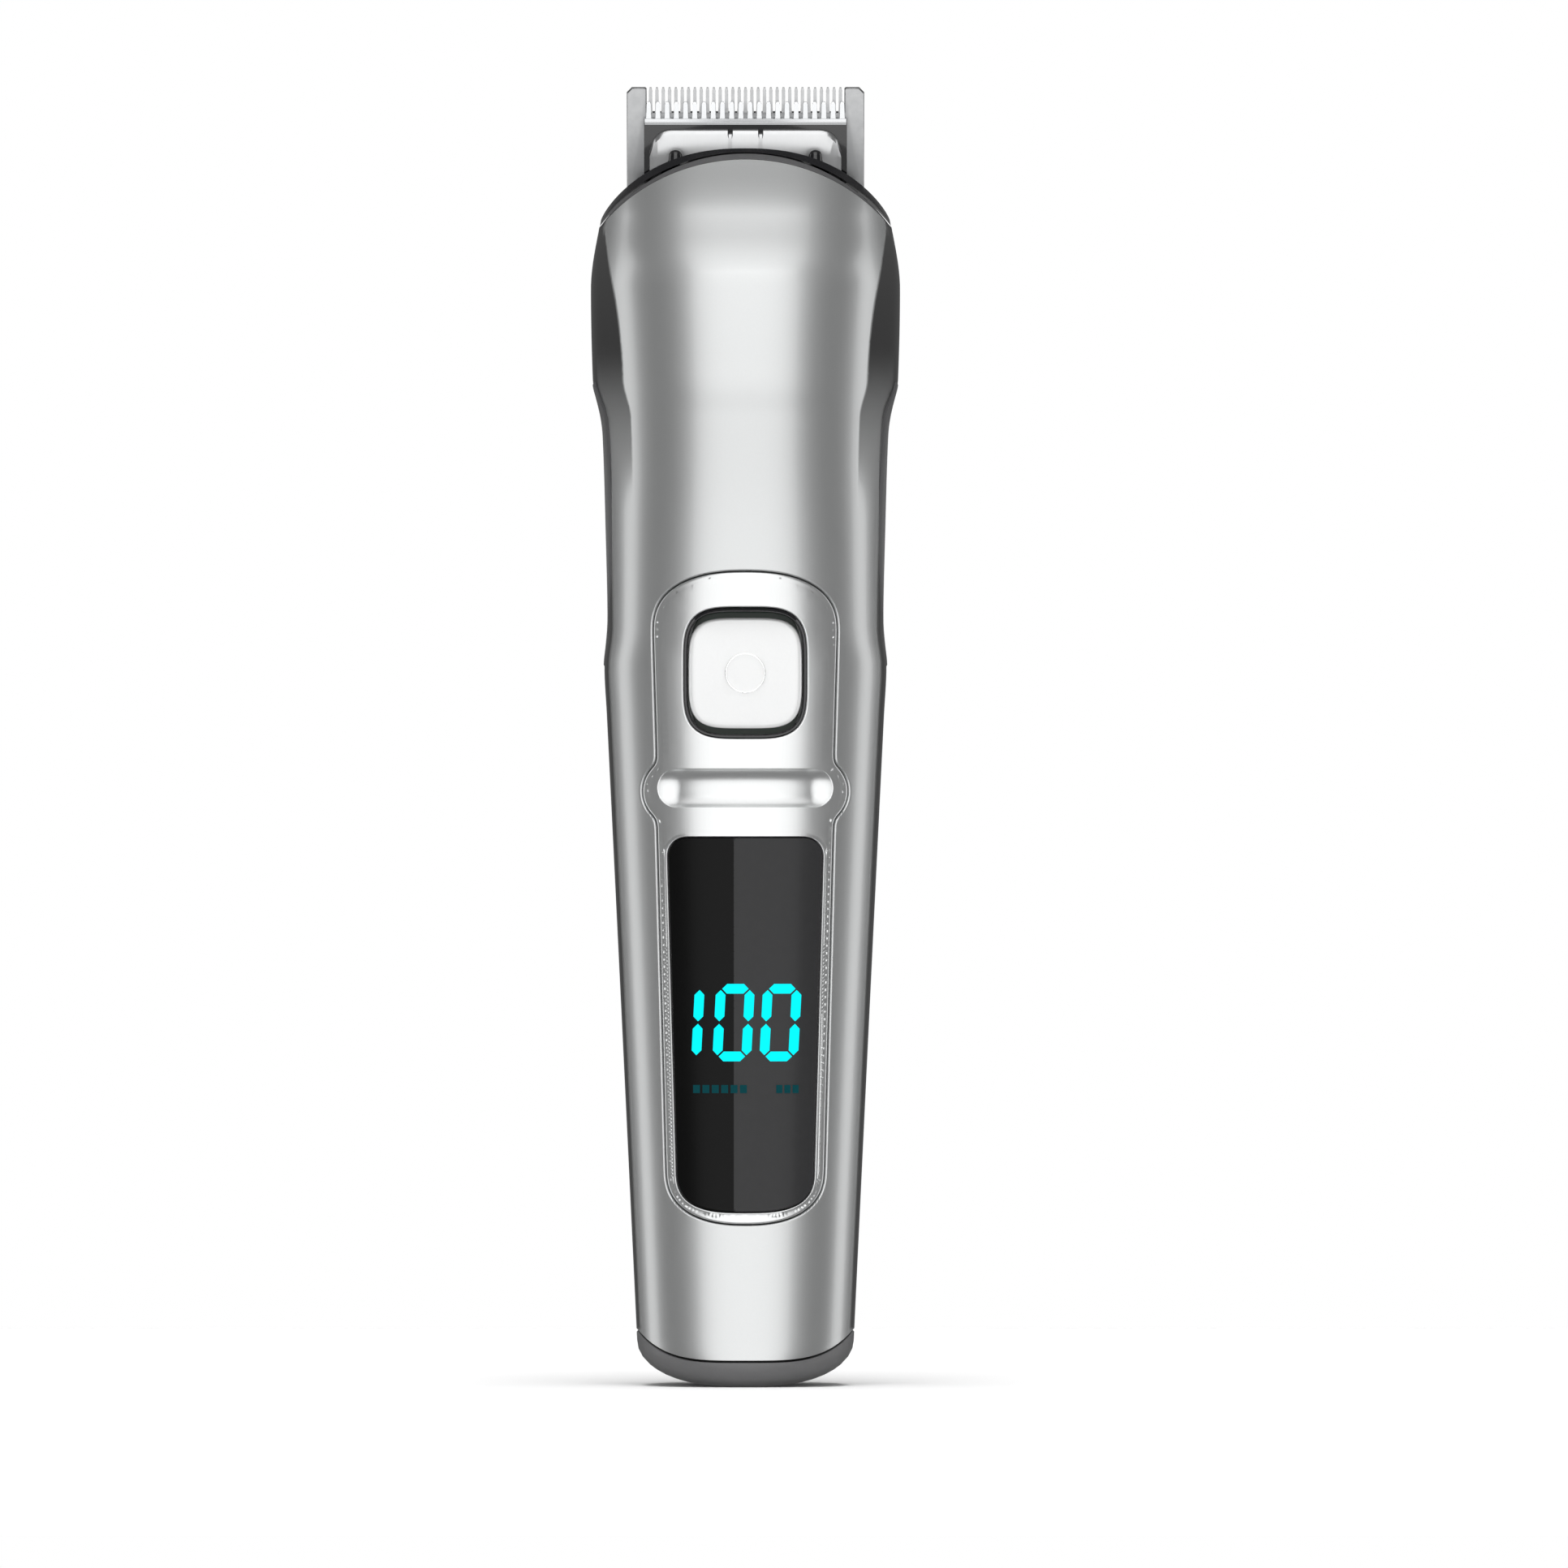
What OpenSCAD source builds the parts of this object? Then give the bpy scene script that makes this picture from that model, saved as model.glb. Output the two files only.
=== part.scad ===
// Cordless beard trimmer.
// +Z runs from the foot to the blade tips, the front with the button and the display faces -Y, and the two
// casing halves meet on the plane y = 0. The origin is in the middle of the foot.

/* [Overall] */
// Length from the foot to the tips of the fixed blade
overall_len = 160; // [150:1:200]
// Width across the head, the widest place
head_w = 38.1; // [36:0.1:46]
// Width where the lower taper ends, just below the grips
hip_w = 34.76; // [33:0.1:42]
// Width at the narrow end of the grip scallop
waist_w = 33.74; // [32:0.1:41]
// Width at the wide end of the grip scallop
shoulder_w = 35.2; // [33:0.1:42]
// Width just above the end cap
base_w = 26.6; // [25:0.1:32]
// Wall of the two casing halves
wall = 2; // [1.8:0.1:2.6]

/* [Depths from the seam plane] */
// Front depth at the end cap
base_front = 12; // [11.5:0.1:15]
// Front depth behind the button
panel_front = 14.2; // [13.8:0.1:17]
// Front depth at the head, the deepest place
head_front = 21.5; // [20:0.1:26]
// Back depth at the end cap
base_back = 12.6; // [12:0.1:16]
// Back depth at the belly, the deepest place
belly_back = 21.5; // [20:0.1:26]
// Back depth at the head
head_back = 14.2; // [13.5:0.1:18]

/* [Heights] */
// Height where the lower taper ends and the grip scallop starts
hip_h = 88.5; // [84:0.5:92]
// Height of the end cap seam at the middle of the front
cap_seam_mid = 3; // [2.8:0.1:4]
// Height of the end cap seam at the sides
cap_seam_side = 6.65; // [6:0.1:8]
// Height over which the foot is rounded
foot_round_h = 5.5; // [5:0.1:6.5]

/* [Control panel] */
// Height of the lower end of the panel
panel_bottom = 20; // [18:0.5:22]
// Height of the upper end of the panel
panel_top = 99.95; // [98:0.5:102]
// Panel width beside the button
panel_top_w = 22.66; // [21:0.1:24]
// Panel width below the display
panel_bottom_w = 19.5; // [18:0.1:20.5]
// Panel thickness
panel_t = 2; // [1.8:0.1:2.4]
// Gap round the panel and the window
inlay_gap = 0.15; // [0.1:0.01:0.25]
// Height of the finger scoop
scoop_z = 73.5; // [72:0.5:75]
// Length of the finger scoop
scoop_len = 21.6; // [18:0.1:22.4]
// Height of the finger scoop's opening
scoop_h = 4.8; // [4:0.1:5.4]
// Depth of the finger scoop
scoop_depth = 1.1; // [0.8:0.1:1.3]

/* [Button] */
// Height of the middle of the button
button_z = 87.6; // [86.5:0.1:88.5]
// Width of the button
button_w = 13.9; // [12:0.1:14.6]
// Height of the button along the body
button_h = 13.6; // [12:0.1:14.6]
// Running gap between the button and its well
button_gap = 0.1; // [0.06:0.01:0.15]
// Travel of the button
button_travel = 0.6; // [0.4:0.1:0.8]
// Diameter of the raised ring on the button
button_ring_d = 4.75; // [3:0.05:6]

/* [Display] */
// Height of the top of the window
window_top = 67.4; // [66:0.1:68]
// Height of the bottom of the window
window_bottom = 21.5; // [21.5:0.1:24]
// Width of the window at its top
window_top_w = 19; // [17:0.1:19]
// Width of the window at its bottom
window_bottom_w = 16.9; // [15:0.1:17]
// Thickness of the window
window_t = 1.2; // [1:0.1:1.4]
// Height of the digits
digit_h = 9.5; // [7:0.1:11]
// Width of a digit
digit_w = 4.75; // [4:0.05:5]
// Height of the middle of the digits
digit_z = 44.75; // [42:0.25:48]

/* [Battery] */
// Diameter of the cell
cell_d = 14; // [13.5:0.1:14.2]
// Length of the cell
cell_len = 49.2; // [45:0.1:50]

/* [Motor] */
// Diameter of the motor can
motor_d = 20.4; // [19:0.1:21]
// Width across the flats of the motor can
motor_flats = 15.4; // [14.6:0.1:16]
// Length of the motor can
motor_len = 23; // [20:0.1:24]
// Diameter of the motor shaft
shaft_d = 2; // [1.8:0.1:2.2]
// Throw of the eccentric, half the cutter stroke
throw = 0.75; // [0.6:0.05:0.85]
// Diameter of the drive pin
pin_d = 1.8; // [1.6:0.1:2]

/* [Blades] */
// Width of the fixed blade
blade_w = 29.3; // [27.5:0.1:30.5]
// Thickness of the fixed blade
blade_t = 1.2; // [1:0.1:1.4]
// Width of the moving blade
cutter_w = 25; // [23:0.1:26]
// Thickness of the moving blade
cutter_t = 0.9; // [0.8:0.1:1]
// Number of teeth on the fixed blade
fixed_teeth = 31; // [25:1:33]
// Number of teeth on the moving blade
moving_teeth = 22; // [18:1:24]
// How far the moving blade's tips stand behind the fixed blade's
tip_setback = 1.6; // [1.2:0.1:2]
// Angle by which the blades lean to the front
lean = 10; // [6:1:12]
// Diameter of the blade screws' threads
blade_screw_d = 2; // [1.8:0.1:2.2]

/* [Charging inlet] */
// Width of the charging socket's mouth
usb_w = 8.94; // [8.9:0.01:9]
// Height of the charging socket's mouth
usb_h = 3.26; // [3.2:0.01:3.3]

/* [Hidden] */

$fn = 48;

// Small clearances shared by the whole model
fit_gap = 0.05;    // between pieces that are fixed to each other
run_gap = 0.1;     // between pieces that slide or turn
open_gap = 0.3;    // between bodies that never touch
big = 200;         // longer than anything it cuts

// Shape of the body's cross section and crease
front_power = 2.5;
back_power = 2.3;
crease_low = 0.797;    // crease place as a share of the half width, on the grips
crease_high = 0.98;    // and at the top corners
crease_power = 2.2;
facet_end = 3;         // where the side facet meets the flank, in front of the seam plane
foot_half_w = 3.4;
foot_half_d = 9;
foot_round_d = 3;

// Stations up the body: lower ones are set from the foot, upper ones from the blade tips
mid_h = hip_h / 2 + 2;
waist_h = hip_h + 4.5;
shoulder_low = overall_len - 41;
shoulder_high = overall_len - 36.5;
wide_h = overall_len - 25;
corner_h = overall_len - 16.6;
nose_h = overall_len - 8;
taper_share = (mid_h - foot_round_h) / (hip_h - foot_round_h);
mid_half_w = (base_w + (hip_w - base_w) * taper_share) / 2;
hip_low = hip_h - 6;
hip_low_half_w = hip_w / 2 - 0.3;
swell = 0.25;          // how much narrower the head is just above the shoulder
cell_bay_d = 14.2;     // largest cell that the foot holds at its plain depth
foot_spread = 1.2;     // depth added for each millimetre of a larger cell, as the foot's rounding takes some back
foot_back = base_back + foot_spread * max(0, cell_d - cell_bay_d);

// Each row is [height, half width, front depth, back depth]
body_knots = [
    [foot_round_h, base_w / 2 + 0.05, base_front, foot_back],
    [mid_h, mid_half_w, base_front + 0.4 * (panel_front - base_front),
        foot_back + 0.6 * (belly_back - foot_back)],
    [hip_low, hip_low_half_w, panel_front - 0.3, belly_back],
    [hip_h, hip_w / 2, panel_front, belly_back],
    [waist_h, waist_w / 2, panel_front + 0.6, belly_back - 0.2],
    [(waist_h + shoulder_low) / 2, (waist_w + shoulder_w) / 4 - 0.1, (panel_front + head_front) / 2 - 1,
        belly_back - 1.9],
    [shoulder_low, shoulder_w / 2, head_front - 1.9, (belly_back + head_back) / 2 - 1],
    [shoulder_high, head_w / 2 - swell, head_front - 0.9, head_back + 1.4],
    [wide_h, head_w / 2, head_front, head_back - 0.8],
    [corner_h, head_w / 2 - 1.2, head_front - 4.2, head_back - 2.2],
    [nose_h, head_w / 2 - 3.4, head_front - 11, head_back - 4.4]
];

// Heights at which the body is sectioned, closer where it turns faster
function steps(from, to, count) = [for (i = [0:count - 1]) from + (to - from) * i / count];
foot_sections = [for (a = [0:18:89]) foot_round_h * (1 - cos(a))];
shell_start = cap_seam_mid - 0.4;
upper_sections = concat(
    steps(foot_round_h, hip_low, 9),
    steps(hip_low, waist_h, 6),
    steps(waist_h, shoulder_low, 5),
    steps(shoulder_low, shoulder_high, 3),
    steps(shoulder_high, corner_h, 7),
    steps(corner_h, nose_h, 3),
    [nose_h]
);
shell_sections = concat(steps(shell_start, foot_round_h, 3), upper_sections);
cap_sections = concat(foot_sections, [foot_round_h, cap_seam_side + 1.5]);

// Smooth curve through one column of the stations, with no overshoot
function knot_index(z, i = 0) = (i >= len(body_knots) - 2 || z < body_knots[i + 1][0]) ? i :
    knot_index(z, i + 1);
function knot_rise(i,
    col) = (body_knots[i + 1][col] - body_knots[i][col]) / (body_knots[i + 1][0] - body_knots[i][0]);
function harmonic(a, b) = a * b <= 0 ? 0 : 2 * a * b / (a + b);
function knot_slope(i, col) =
    i == 0 ? knot_rise(0, col)
    : i == len(body_knots) - 1 ? knot_rise(i - 1, col)
    : harmonic(knot_rise(i - 1, col), knot_rise(i, col));
function curve_value(z, col) =
    let (i = knot_index(z), low = body_knots[i], high = body_knots[i + 1])
    let (step = high[0] - low[0], t = max(0, min(1, (z - low[0]) / step)))
    (2 * t ^ 3 - 3 * t ^ 2 + 1) * low[col] + (t ^ 3 - 2 * t ^ 2 + t) * step * knot_slope(i, col)
    + (3 * t ^ 2 - 2 * t ^ 3) * high[col] + (t ^ 3 - t ^ 2) * step * knot_slope(i + 1, col);

// The foot is rounded by a quarter ellipse that ends on a flat
function round_in(z, height, flat, full) =
    z >= height ? full : flat + (full - flat) * sqrt(1 - ((height - max(0, z)) / height) ^ 2);
function half_width(z) = round_in(z, foot_round_h, foot_half_w, curve_value(max(z, foot_round_h), 1));
function front_depth(z) = round_in(z, foot_round_d, foot_half_d, curve_value(max(z, foot_round_h), 2));
function back_depth(z) = round_in(z, foot_round_d, foot_half_d, curve_value(max(z, foot_round_h), 3));

// Depth of a superellipse at a distance x from the middle
function oval_depth(x, half, depth, power) = depth * max(0,
    1 - min(1, abs(x) / half) ^ power) ^ (1 / power);
function front_y(x, z, inset = 0) = -oval_depth(x, half_width(z) - inset, front_depth(z) - inset,
    front_power);
function back_y(x, z, inset = 0) = oval_depth(x, half_width(z) - inset, back_depth(z) - inset, back_power);

// Share of the half width at which the front face breaks into the side facet, and how strong the break is
function ramp(z, from, to) = max(0, min(1, (z - from) / (to - from)));
function smooth(t) = t * t * (3 - 2 * t);
function crease_share(z) = crease_low + (crease_high - crease_low) * ramp(z, shoulder_high,
    corner_h) ^ crease_power;
function facet_strength(z) = smooth(ramp(z, waist_h + 13, shoulder_high));

// One half of a section, from +x round the front to -x, at a given inset from the outer surface
face_points = 4;
flank_points = 6;
function facet_y(x, z, half, depth) =
    let (crease = crease_share(z) * half, start = oval_depth(crease, half, depth, front_power))
    start + (facet_end - start) * (x - crease) / (half - crease);
function flank_point(a, z, half, depth) =
    let (x = half * cos(a) ^ (2 / front_power), y = depth * sin(a) ^ (2 / front_power))
    [x, y + facet_strength(z) * min(0, facet_y(x, z, half, depth) - y)];
function front_quarter(z, inset) =
    let (half = half_width(z) - inset, depth = front_depth(z) - inset, crease = crease_share(z) * half)
    let (crease_angle = acos(crease_share(z) ^ (front_power / 2)))
    concat(
        [for (i = [0:flank_points - 1]) flank_point(crease_angle * i / flank_points, z, half, depth)],
        [for (i = [0:face_points])
            let (x = crease * (1 - i / face_points)) [x, oval_depth(x, half, depth, front_power)]]
    );
function front_half(z, inset) =
    let (quarter = front_quarter(z, inset), last = len(quarter) - 1)
    concat([for (p = quarter) [p[0], -p[1], z]],
        [for (i = [1:last]) [-quarter[last - i][0], -quarter[last - i][1], z]]);
back_steps = 16;
function back_half(z, inset) =
    let (half = half_width(z) - inset, depth = back_depth(z) - inset)
    [for (i = [0:back_steps])
        let (a = 180 * i / back_steps, c = cos(a))
        [sign(c) * half * abs(c) ^ (2 / back_power), depth * sin(a) ^ (2 / back_power), z]];

function reversed(list) = [for (i = [len(list) - 1:-1:0]) list[i]];

// Closed solid through rings that have the same number of points, each anticlockwise from above. A ring
// of a skin
// runs along its outer side and back along its inner side, so its end faces are a strip across the wall.
module loft(rings, skin = false) {
    count = len(rings[0]);
    levels = len(rings);
    half = count / 2;
    strip = [for (i = [0:half - 2]) [i, i + 1, count - 2 - i, count - 1 - i]];
    low_end = skin ? strip : [[for (i = [0:count - 1]) i]];
    high_end = [for (face = low_end) [for (i = [len(face) - 1:-1:0]) (levels - 1) * count + face[i]]];
    polyhedron(
        points = [for (ring = rings, p = ring) p],
        faces = concat(
            low_end,
            high_end,
            [for (k = [0:levels - 2], i = [0:count - 1])
                [(k + 1) * count + i, (k + 1) * count + (i + 1) % count, k * count + (i + 1) % count]],
            [for (k = [0:levels - 2], i = [0:count - 1])
                [(k + 1) * count + i, k * count + (i + 1) % count, k * count + i]]
        ),
        convexity = 6
    );
}

// Front and back skins between two insets, each in one piece from seam to seam
module front_skin(heights, outer, inner) {
    loft([for (z = heights) concat(reversed(front_half(z, outer)), front_half(z, inner))], skin = true);
}
module back_skin(heights, outer, inner) {
    loft([for (z = heights) concat(back_half(z, outer), reversed(back_half(z, inner)))], skin = true);
}
module whole_body(heights, inset) {
    loft([for (z = heights)
        concat(reversed(front_half(z, inset)), [for (i = [1:back_steps - 1]) back_half(z, inset)[i]])]);
}

// Heights of a list that lie in a range, with the two ends added
function within(heights, from, to) = concat([from],
    [for (z = heights) if (z > from + 0.2 && z < to - 0.2) z], [to]);

// An outline in the XZ plane pushed through from y = from to y = to
module through_y(from, to) {
    translate([0, to, 0]) rotate([90, 0, 0]) linear_extrude(to - from, convexity = 8) children();
}

// ---- outlines seen from the front ----

seam_power = 4;
function cap_seam(x) = cap_seam_mid + (cap_seam_side - cap_seam_mid) * (abs(x) / (base_w / 2)) ^ seam_power;
cap_reach = base_w / 2 + 0.6;
module below_cap_seam(lift) {
    edge = [for (i = [-12:12]) let (x = cap_reach * i / 12) [x, cap_seam(x) + lift]];
    polygon(concat([[-cap_reach, -1]], edge, [[cap_reach, -1]]));
}

// Arches over the head: each is an arc through its crown and the two top corners
corner_x = head_w / 2 - 1.35;
corner_z = overall_len - 17.4;
shell_crown = overall_len - 9.4;
rim_crown = overall_len - 8.65;
rim_corner_lift = 0.2;
function arc_radius(chord_half, rise) = (chord_half ^ 2 + rise ^ 2) / (2 * rise);
module arch(crown, lift) {
    radius = arc_radius(corner_x, crown - corner_z - lift);
    translate([0, crown - radius]) circle(r = radius, $fn = 96);
    translate([-big / 2, corner_z + lift - big]) square([big, big]);
}
// The collar's arch is flatter in the middle than an arc
collar_crown = overall_len - 8;
collar_corner = overall_len - 16.7;
collar_power = 2.35;
module collar_arch(inset) {
    reach = corner_x + 0.1 - inset;
    rise = collar_crown - collar_corner;
    polygon(concat(
        [[-reach, corner_z - 20]],
        [for (i = [-12:12])
            let (s = i / 12, bend = sign(s) * (1 - (1 - abs(s)) ^ 1.6))
            [reach * bend, collar_corner + rise * (1 - abs(bend) ^ collar_power) ^ (1 / 1.25) - inset]],
        [[reach, corner_z - 20]]
    ));
}

// Rounded ends of the panel and the window are superellipse quarters
function end_curve(half, rise, z, power, up) =
    [for (i = [0:12])
        let (a = 180 * i / 12, c = cos(a))
        [sign(c) * half * abs(c) ^ (2 / power), z + up * rise * abs(sin(a)) ^ (2 / power)]];
panel_top_rise = 6.95;
panel_bottom_rise = 6.5;
panel_power = 2.4;
ear_reach = 1.85;      // how far the panel's ears stand out beside the finger scoop
ear_r = 4.06;
ear_z = scoop_z - 0.4;
panel_side_share = (scoop_z - panel_bottom - panel_bottom_rise)
    / (panel_top - panel_top_rise - panel_bottom - panel_bottom_rise);
ear_x = (panel_bottom_w + (panel_top_w - panel_bottom_w) * panel_side_share) / 2 + ear_reach - ear_r;
module panel_outline(grow) {
    offset(r = grow)
    offset(r = -1.2)
    offset(r = 1.2) {
        polygon(concat(
            end_curve(panel_top_w / 2, panel_top_rise, panel_top - panel_top_rise, panel_power, 1),
            reversed(end_curve(panel_bottom_w / 2, panel_bottom_rise, panel_bottom + panel_bottom_rise,
                panel_power, -1))
        ));
        for (side = [-1, 1]) translate([side * ear_x, ear_z]) circle(r = ear_r, $fn = 40);
    }
}
window_corner = 2.2;
window_bottom_rise = 5.5;
window_power = 3;
module window_outline(grow) {
    offset(r = grow)
    offset(r = window_corner)
    offset(r = -window_corner)
    polygon(concat(
        [[window_top_w / 2, window_top], [-window_top_w / 2, window_top]],
        reversed(end_curve(window_bottom_w / 2, window_bottom_rise, window_bottom + window_bottom_rise,
            window_power, -1))
    ));
}
squircle_r = 4.4;
module button_outline(grow) {
    offset(r = squircle_r + grow)
    square([button_w - 2 * squircle_r, button_h - 2 * squircle_r], center = true);
}

// ---- grips: a lens on each flank ----

grip_t = 1.2;
grip_low = hip_h - 0.8;
grip_high = shoulder_high + 0.8;
grip_half_w = 6.229;
grip_lens_r = arc_radius((grip_high - grip_low) / 2, grip_half_w);
grip_slant = 8;        // how far the lens leans to the front, degrees
module grip_outline(grow) {
    half = (grip_high - grip_low) / 2 + grow;
    offset_r = sqrt(grip_lens_r ^ 2 - half ^ 2);
    translate([-1, (grip_high + grip_low) / 2])
    rotate(grip_slant)
    intersection_for(side = [-1, 1]) translate([side * offset_r, 0])
        circle(r = grip_lens_r + grow, $fn = 96);
}
module grip_prism(side, grow) {
    rotate([90, 0, 90])
    translate([0, 0, side > 0 ? 0 : -big])
    linear_extrude(big) grip_outline(grow);
}
grip_sections = within(upper_sections, grip_low - 3, grip_high + 3);
module grip_pockets() {
    for (side = [-1, 1]) intersection() {
        difference() {
            whole_body(grip_sections, -3);
            whole_body(grip_sections, grip_t + fit_gap);
        }
        grip_prism(side, inlay_gap);
    }
}
module side_grip(side) {
    color([0.2, 0.2, 0.21])
    intersection() {
        difference() {
            whole_body(grip_sections, 0);
            whole_body(grip_sections, grip_t);
        }
        grip_prism(side, 0);
    }
}

// ---- casing halves ----

screw_x = 7;
lower_screw_z = 13.6;
upper_screw_z = panel_top + 1.2;
screw_heights = [lower_screw_z, upper_screw_z];
screw_d = 2;
boss_r = 3;
screw_seat = 4;        // depth of the screw heads behind the seam plane
screw_head_r = 1.9;
screw_head_t = 1.5;
screw_bite = 7;        // how far the screws reach in front of the seam plane
module at_screws() {
    for (side = [-1, 1], z = screw_heights) translate([side * screw_x, 0, z]) children();
}
module arch_cut(crown, lift) {
    through_y(-big, big) arch(crown, lift);
}
module front_boss(z) {
    reach = -front_y(screw_x + boss_r, z) - 0.4;
    for (side = [-1, 1]) translate([side * screw_x, -fit_gap / 2, z])
        rotate([90, 0, 0]) cylinder(r = boss_r, h = reach - fit_gap / 2);
}
module back_boss(z) {
    reach = back_y(screw_x + boss_r, z) - 0.4;
    for (side = [-1, 1]) translate([side * screw_x, fit_gap / 2, z])
        rotate([-90, 0, 0]) cylinder(r = boss_r, h = reach - fit_gap / 2);
}
module front_shell() {
    color([0.72, 0.73, 0.73])
    difference() {
        union() {
            intersection() {
                front_skin(shell_sections, 0, wall);
                arch_cut(shell_crown, 0);
            }
            for (z = screw_heights) front_boss(z);
        }
        through_y(-big, big) below_cap_seam(open_gap);
        through_y(-big, -2) panel_outline(inlay_gap);
        grip_pockets();
        at_screws() rotate([90, 0, 0]) cylinder(d = screw_d + fit_gap, h = screw_bite + 0.5);
    }
}
module rear_shell() {
    color([0.05, 0.05, 0.052])
    difference() {
        union() {
            intersection() {
                back_skin(shell_sections, 0, wall);
                arch_cut(shell_crown, 0);
            }
            for (z = screw_heights) back_boss(z);
        }
        through_y(-big, big) below_cap_seam(open_gap);
        grip_pockets();
        at_screws() rotate([-90, 0, 0]) cylinder(d = screw_d + 2 * run_gap, h = big);
        at_screws() translate([0, screw_seat, 0]) rotate([-90, 0, 0])
            cylinder(r = screw_head_r + run_gap, h = big);
    }
}
module housing_screws() {
    color([0.55, 0.55, 0.56])
    at_screws() rotate([-90, 0, 0]) {
        translate([0, 0, -screw_bite]) cylinder(d = screw_d, h = screw_bite + screw_seat + 0.5);
        difference() {
            translate([0, 0, screw_seat + fit_gap]) cylinder(r = screw_head_r, h = screw_head_t);
            for (a = [0, 90]) rotate(a)
                translate([0, 0, screw_seat + screw_head_t]) cube([2.4, 0.5, 1], center = true);
        }
    }
}

// ---- end cap with the charging inlet ----

cap_floor = 2;
spigot_top = cap_seam_side + 3;
spigot_t = 1.2;
spigot_sections = concat(steps(cap_floor / 2, foot_round_h, 5), [foot_round_h, spigot_top]);
module ring_section(z, inset) {
    polygon([for (p = concat(reversed(front_half(z, inset)),
        [for (i = [1:back_steps - 1]) back_half(z, inset)[i]]))
        [p[0], p[1]]]);
}
module usb_slot(grow) {
    hull() for (side = [-1, 1]) translate([side * (usb_w - usb_h) / 2, 0])
        circle(d = usb_h + 2 * grow, $fn = 32);
}
usb_low = 0.8;
usb_len = 7.4;
usb_wall = 0.3;
module end_cap() {
    color([0.3, 0.3, 0.31])
    difference() {
        union() {
            intersection() {
                whole_body(cap_sections, 0);
                through_y(-big, big) below_cap_seam(0);
            }
            whole_body(spigot_sections, wall + run_gap);
        }
        translate([0, 0, cap_floor]) linear_extrude(big)
            ring_section(foot_round_h, wall + run_gap + spigot_t);
        translate([0, 0, -1]) linear_extrude(big) usb_slot(fit_gap);
    }
}
module end_cap_seal() {
    color([0.08, 0.08, 0.08])
    translate([0, 0, spigot_top + fit_gap]) linear_extrude(0.8) difference() {
        ring_section(foot_round_h, wall + run_gap);
        ring_section(foot_round_h, wall + run_gap + spigot_t);
    }
}
module usb_socket() {
    color([0.78, 0.79, 0.8])
    translate([0, 0, usb_low]) {
        linear_extrude(usb_len) difference() {
            usb_slot(0);
            usb_slot(-usb_wall);
        }
        translate([0, 0, usb_len - 1]) linear_extrude(1) usb_slot(-usb_wall / 2);
    }
}
tongue_w = 6.7;
tongue_t = 0.7;
module usb_tongue() {
    color([0.1, 0.1, 0.1])
    translate([-tongue_w / 2, -tongue_t / 2, usb_low + 1.2])
        cube([tongue_w, tongue_t, usb_len - 2.2 - fit_gap]);
}
charge_board_t = 1;
module charge_board() {
    color([0.05, 0.32, 0.16])
    translate([-4.4, usb_h / 2 + fit_gap, cap_floor + fit_gap])
        cube([8.8, charge_board_t, spigot_top - cap_floor]);
}

// ---- control panel ----

panel_sections = within(upper_sections, panel_bottom - 3, panel_top + 3);
scoop_r = arc_radius(scoop_h / 2, scoop_depth);
scoop_drop = front_y(scoop_len / 2, scoop_z) - front_y(0, scoop_z);
scoop_bend_r = arc_radius(scoop_len / 2, scoop_drop);
scoop_bend_y = front_y(0, scoop_z) + scoop_bend_r;
scoop_path_r = scoop_bend_r + scoop_r - scoop_depth;
scoop_sweep = 2 * asin((scoop_len - scoop_h) / 2 / scoop_path_r);
scoop_sides = 20;
// A fat round groove that bends with the front face; its ends close to a dome
function scoop_ring(turn, r) = [for (i = [0:scoop_sides - 1])
    let (a = 360 * (i + 0.5) / scoop_sides, reach = scoop_path_r + r * cos(a))
    [reach * sin(turn), -reach * cos(turn), -r * sin(a)]];
dome_turn = asin(scoop_r / scoop_path_r);
module scoop_cut() {
    straight = [for (i = [-3:3]) scoop_ring(scoop_sweep / 2 * i / 3, scoop_r)];
    dome = [for (a = [30, 60, 80]) [scoop_sweep / 2 + dome_turn * sin(a), scoop_r * cos(a)]];
    translate([0, scoop_bend_y, scoop_z]) loft(concat(
        [for (end = reversed(dome)) scoop_ring(-end[0], end[1])],
        straight,
        [for (end = dome) scoop_ring(end[0], end[1])]
    ));
}
well_wall = 0.55;
well_grow_z = 0.6;     // the well is a little taller than it is wide
module well_outline(grow) {
    hull() for (up = [-1, 1]) translate([0, up * well_grow_z]) button_outline(grow);
}
module control_panel() {
    color([0.78, 0.79, 0.79])
    difference() {
        intersection() {
            front_skin(panel_sections, 0, panel_t);
            through_y(-big, -2) panel_outline(0);
        }
        through_y(-big, 0) window_outline(inlay_gap);
        through_y(-big, 0) translate([0, button_z]) well_outline(well_wall + button_gap + fit_gap);
        scoop_cut();
    }
}
carrier_t = 1.2;
carrier_lap = 1.4;
module panel_carrier() {
    color([0.12, 0.12, 0.12])
    difference() {
        intersection() {
            front_skin(panel_sections, panel_t + fit_gap, panel_t + fit_gap + carrier_t);
            through_y(-big, -2) panel_outline(carrier_lap);
        }
        through_y(-big, 0) window_outline(-1);
        through_y(-big, 0) translate([0, button_z]) well_outline(well_wall + button_gap + fit_gap);
        at_screws() rotate([90, 0, 0]) cylinder(r = boss_r + run_gap, h = big);
    }
}

// ---- button and switch ----

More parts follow.
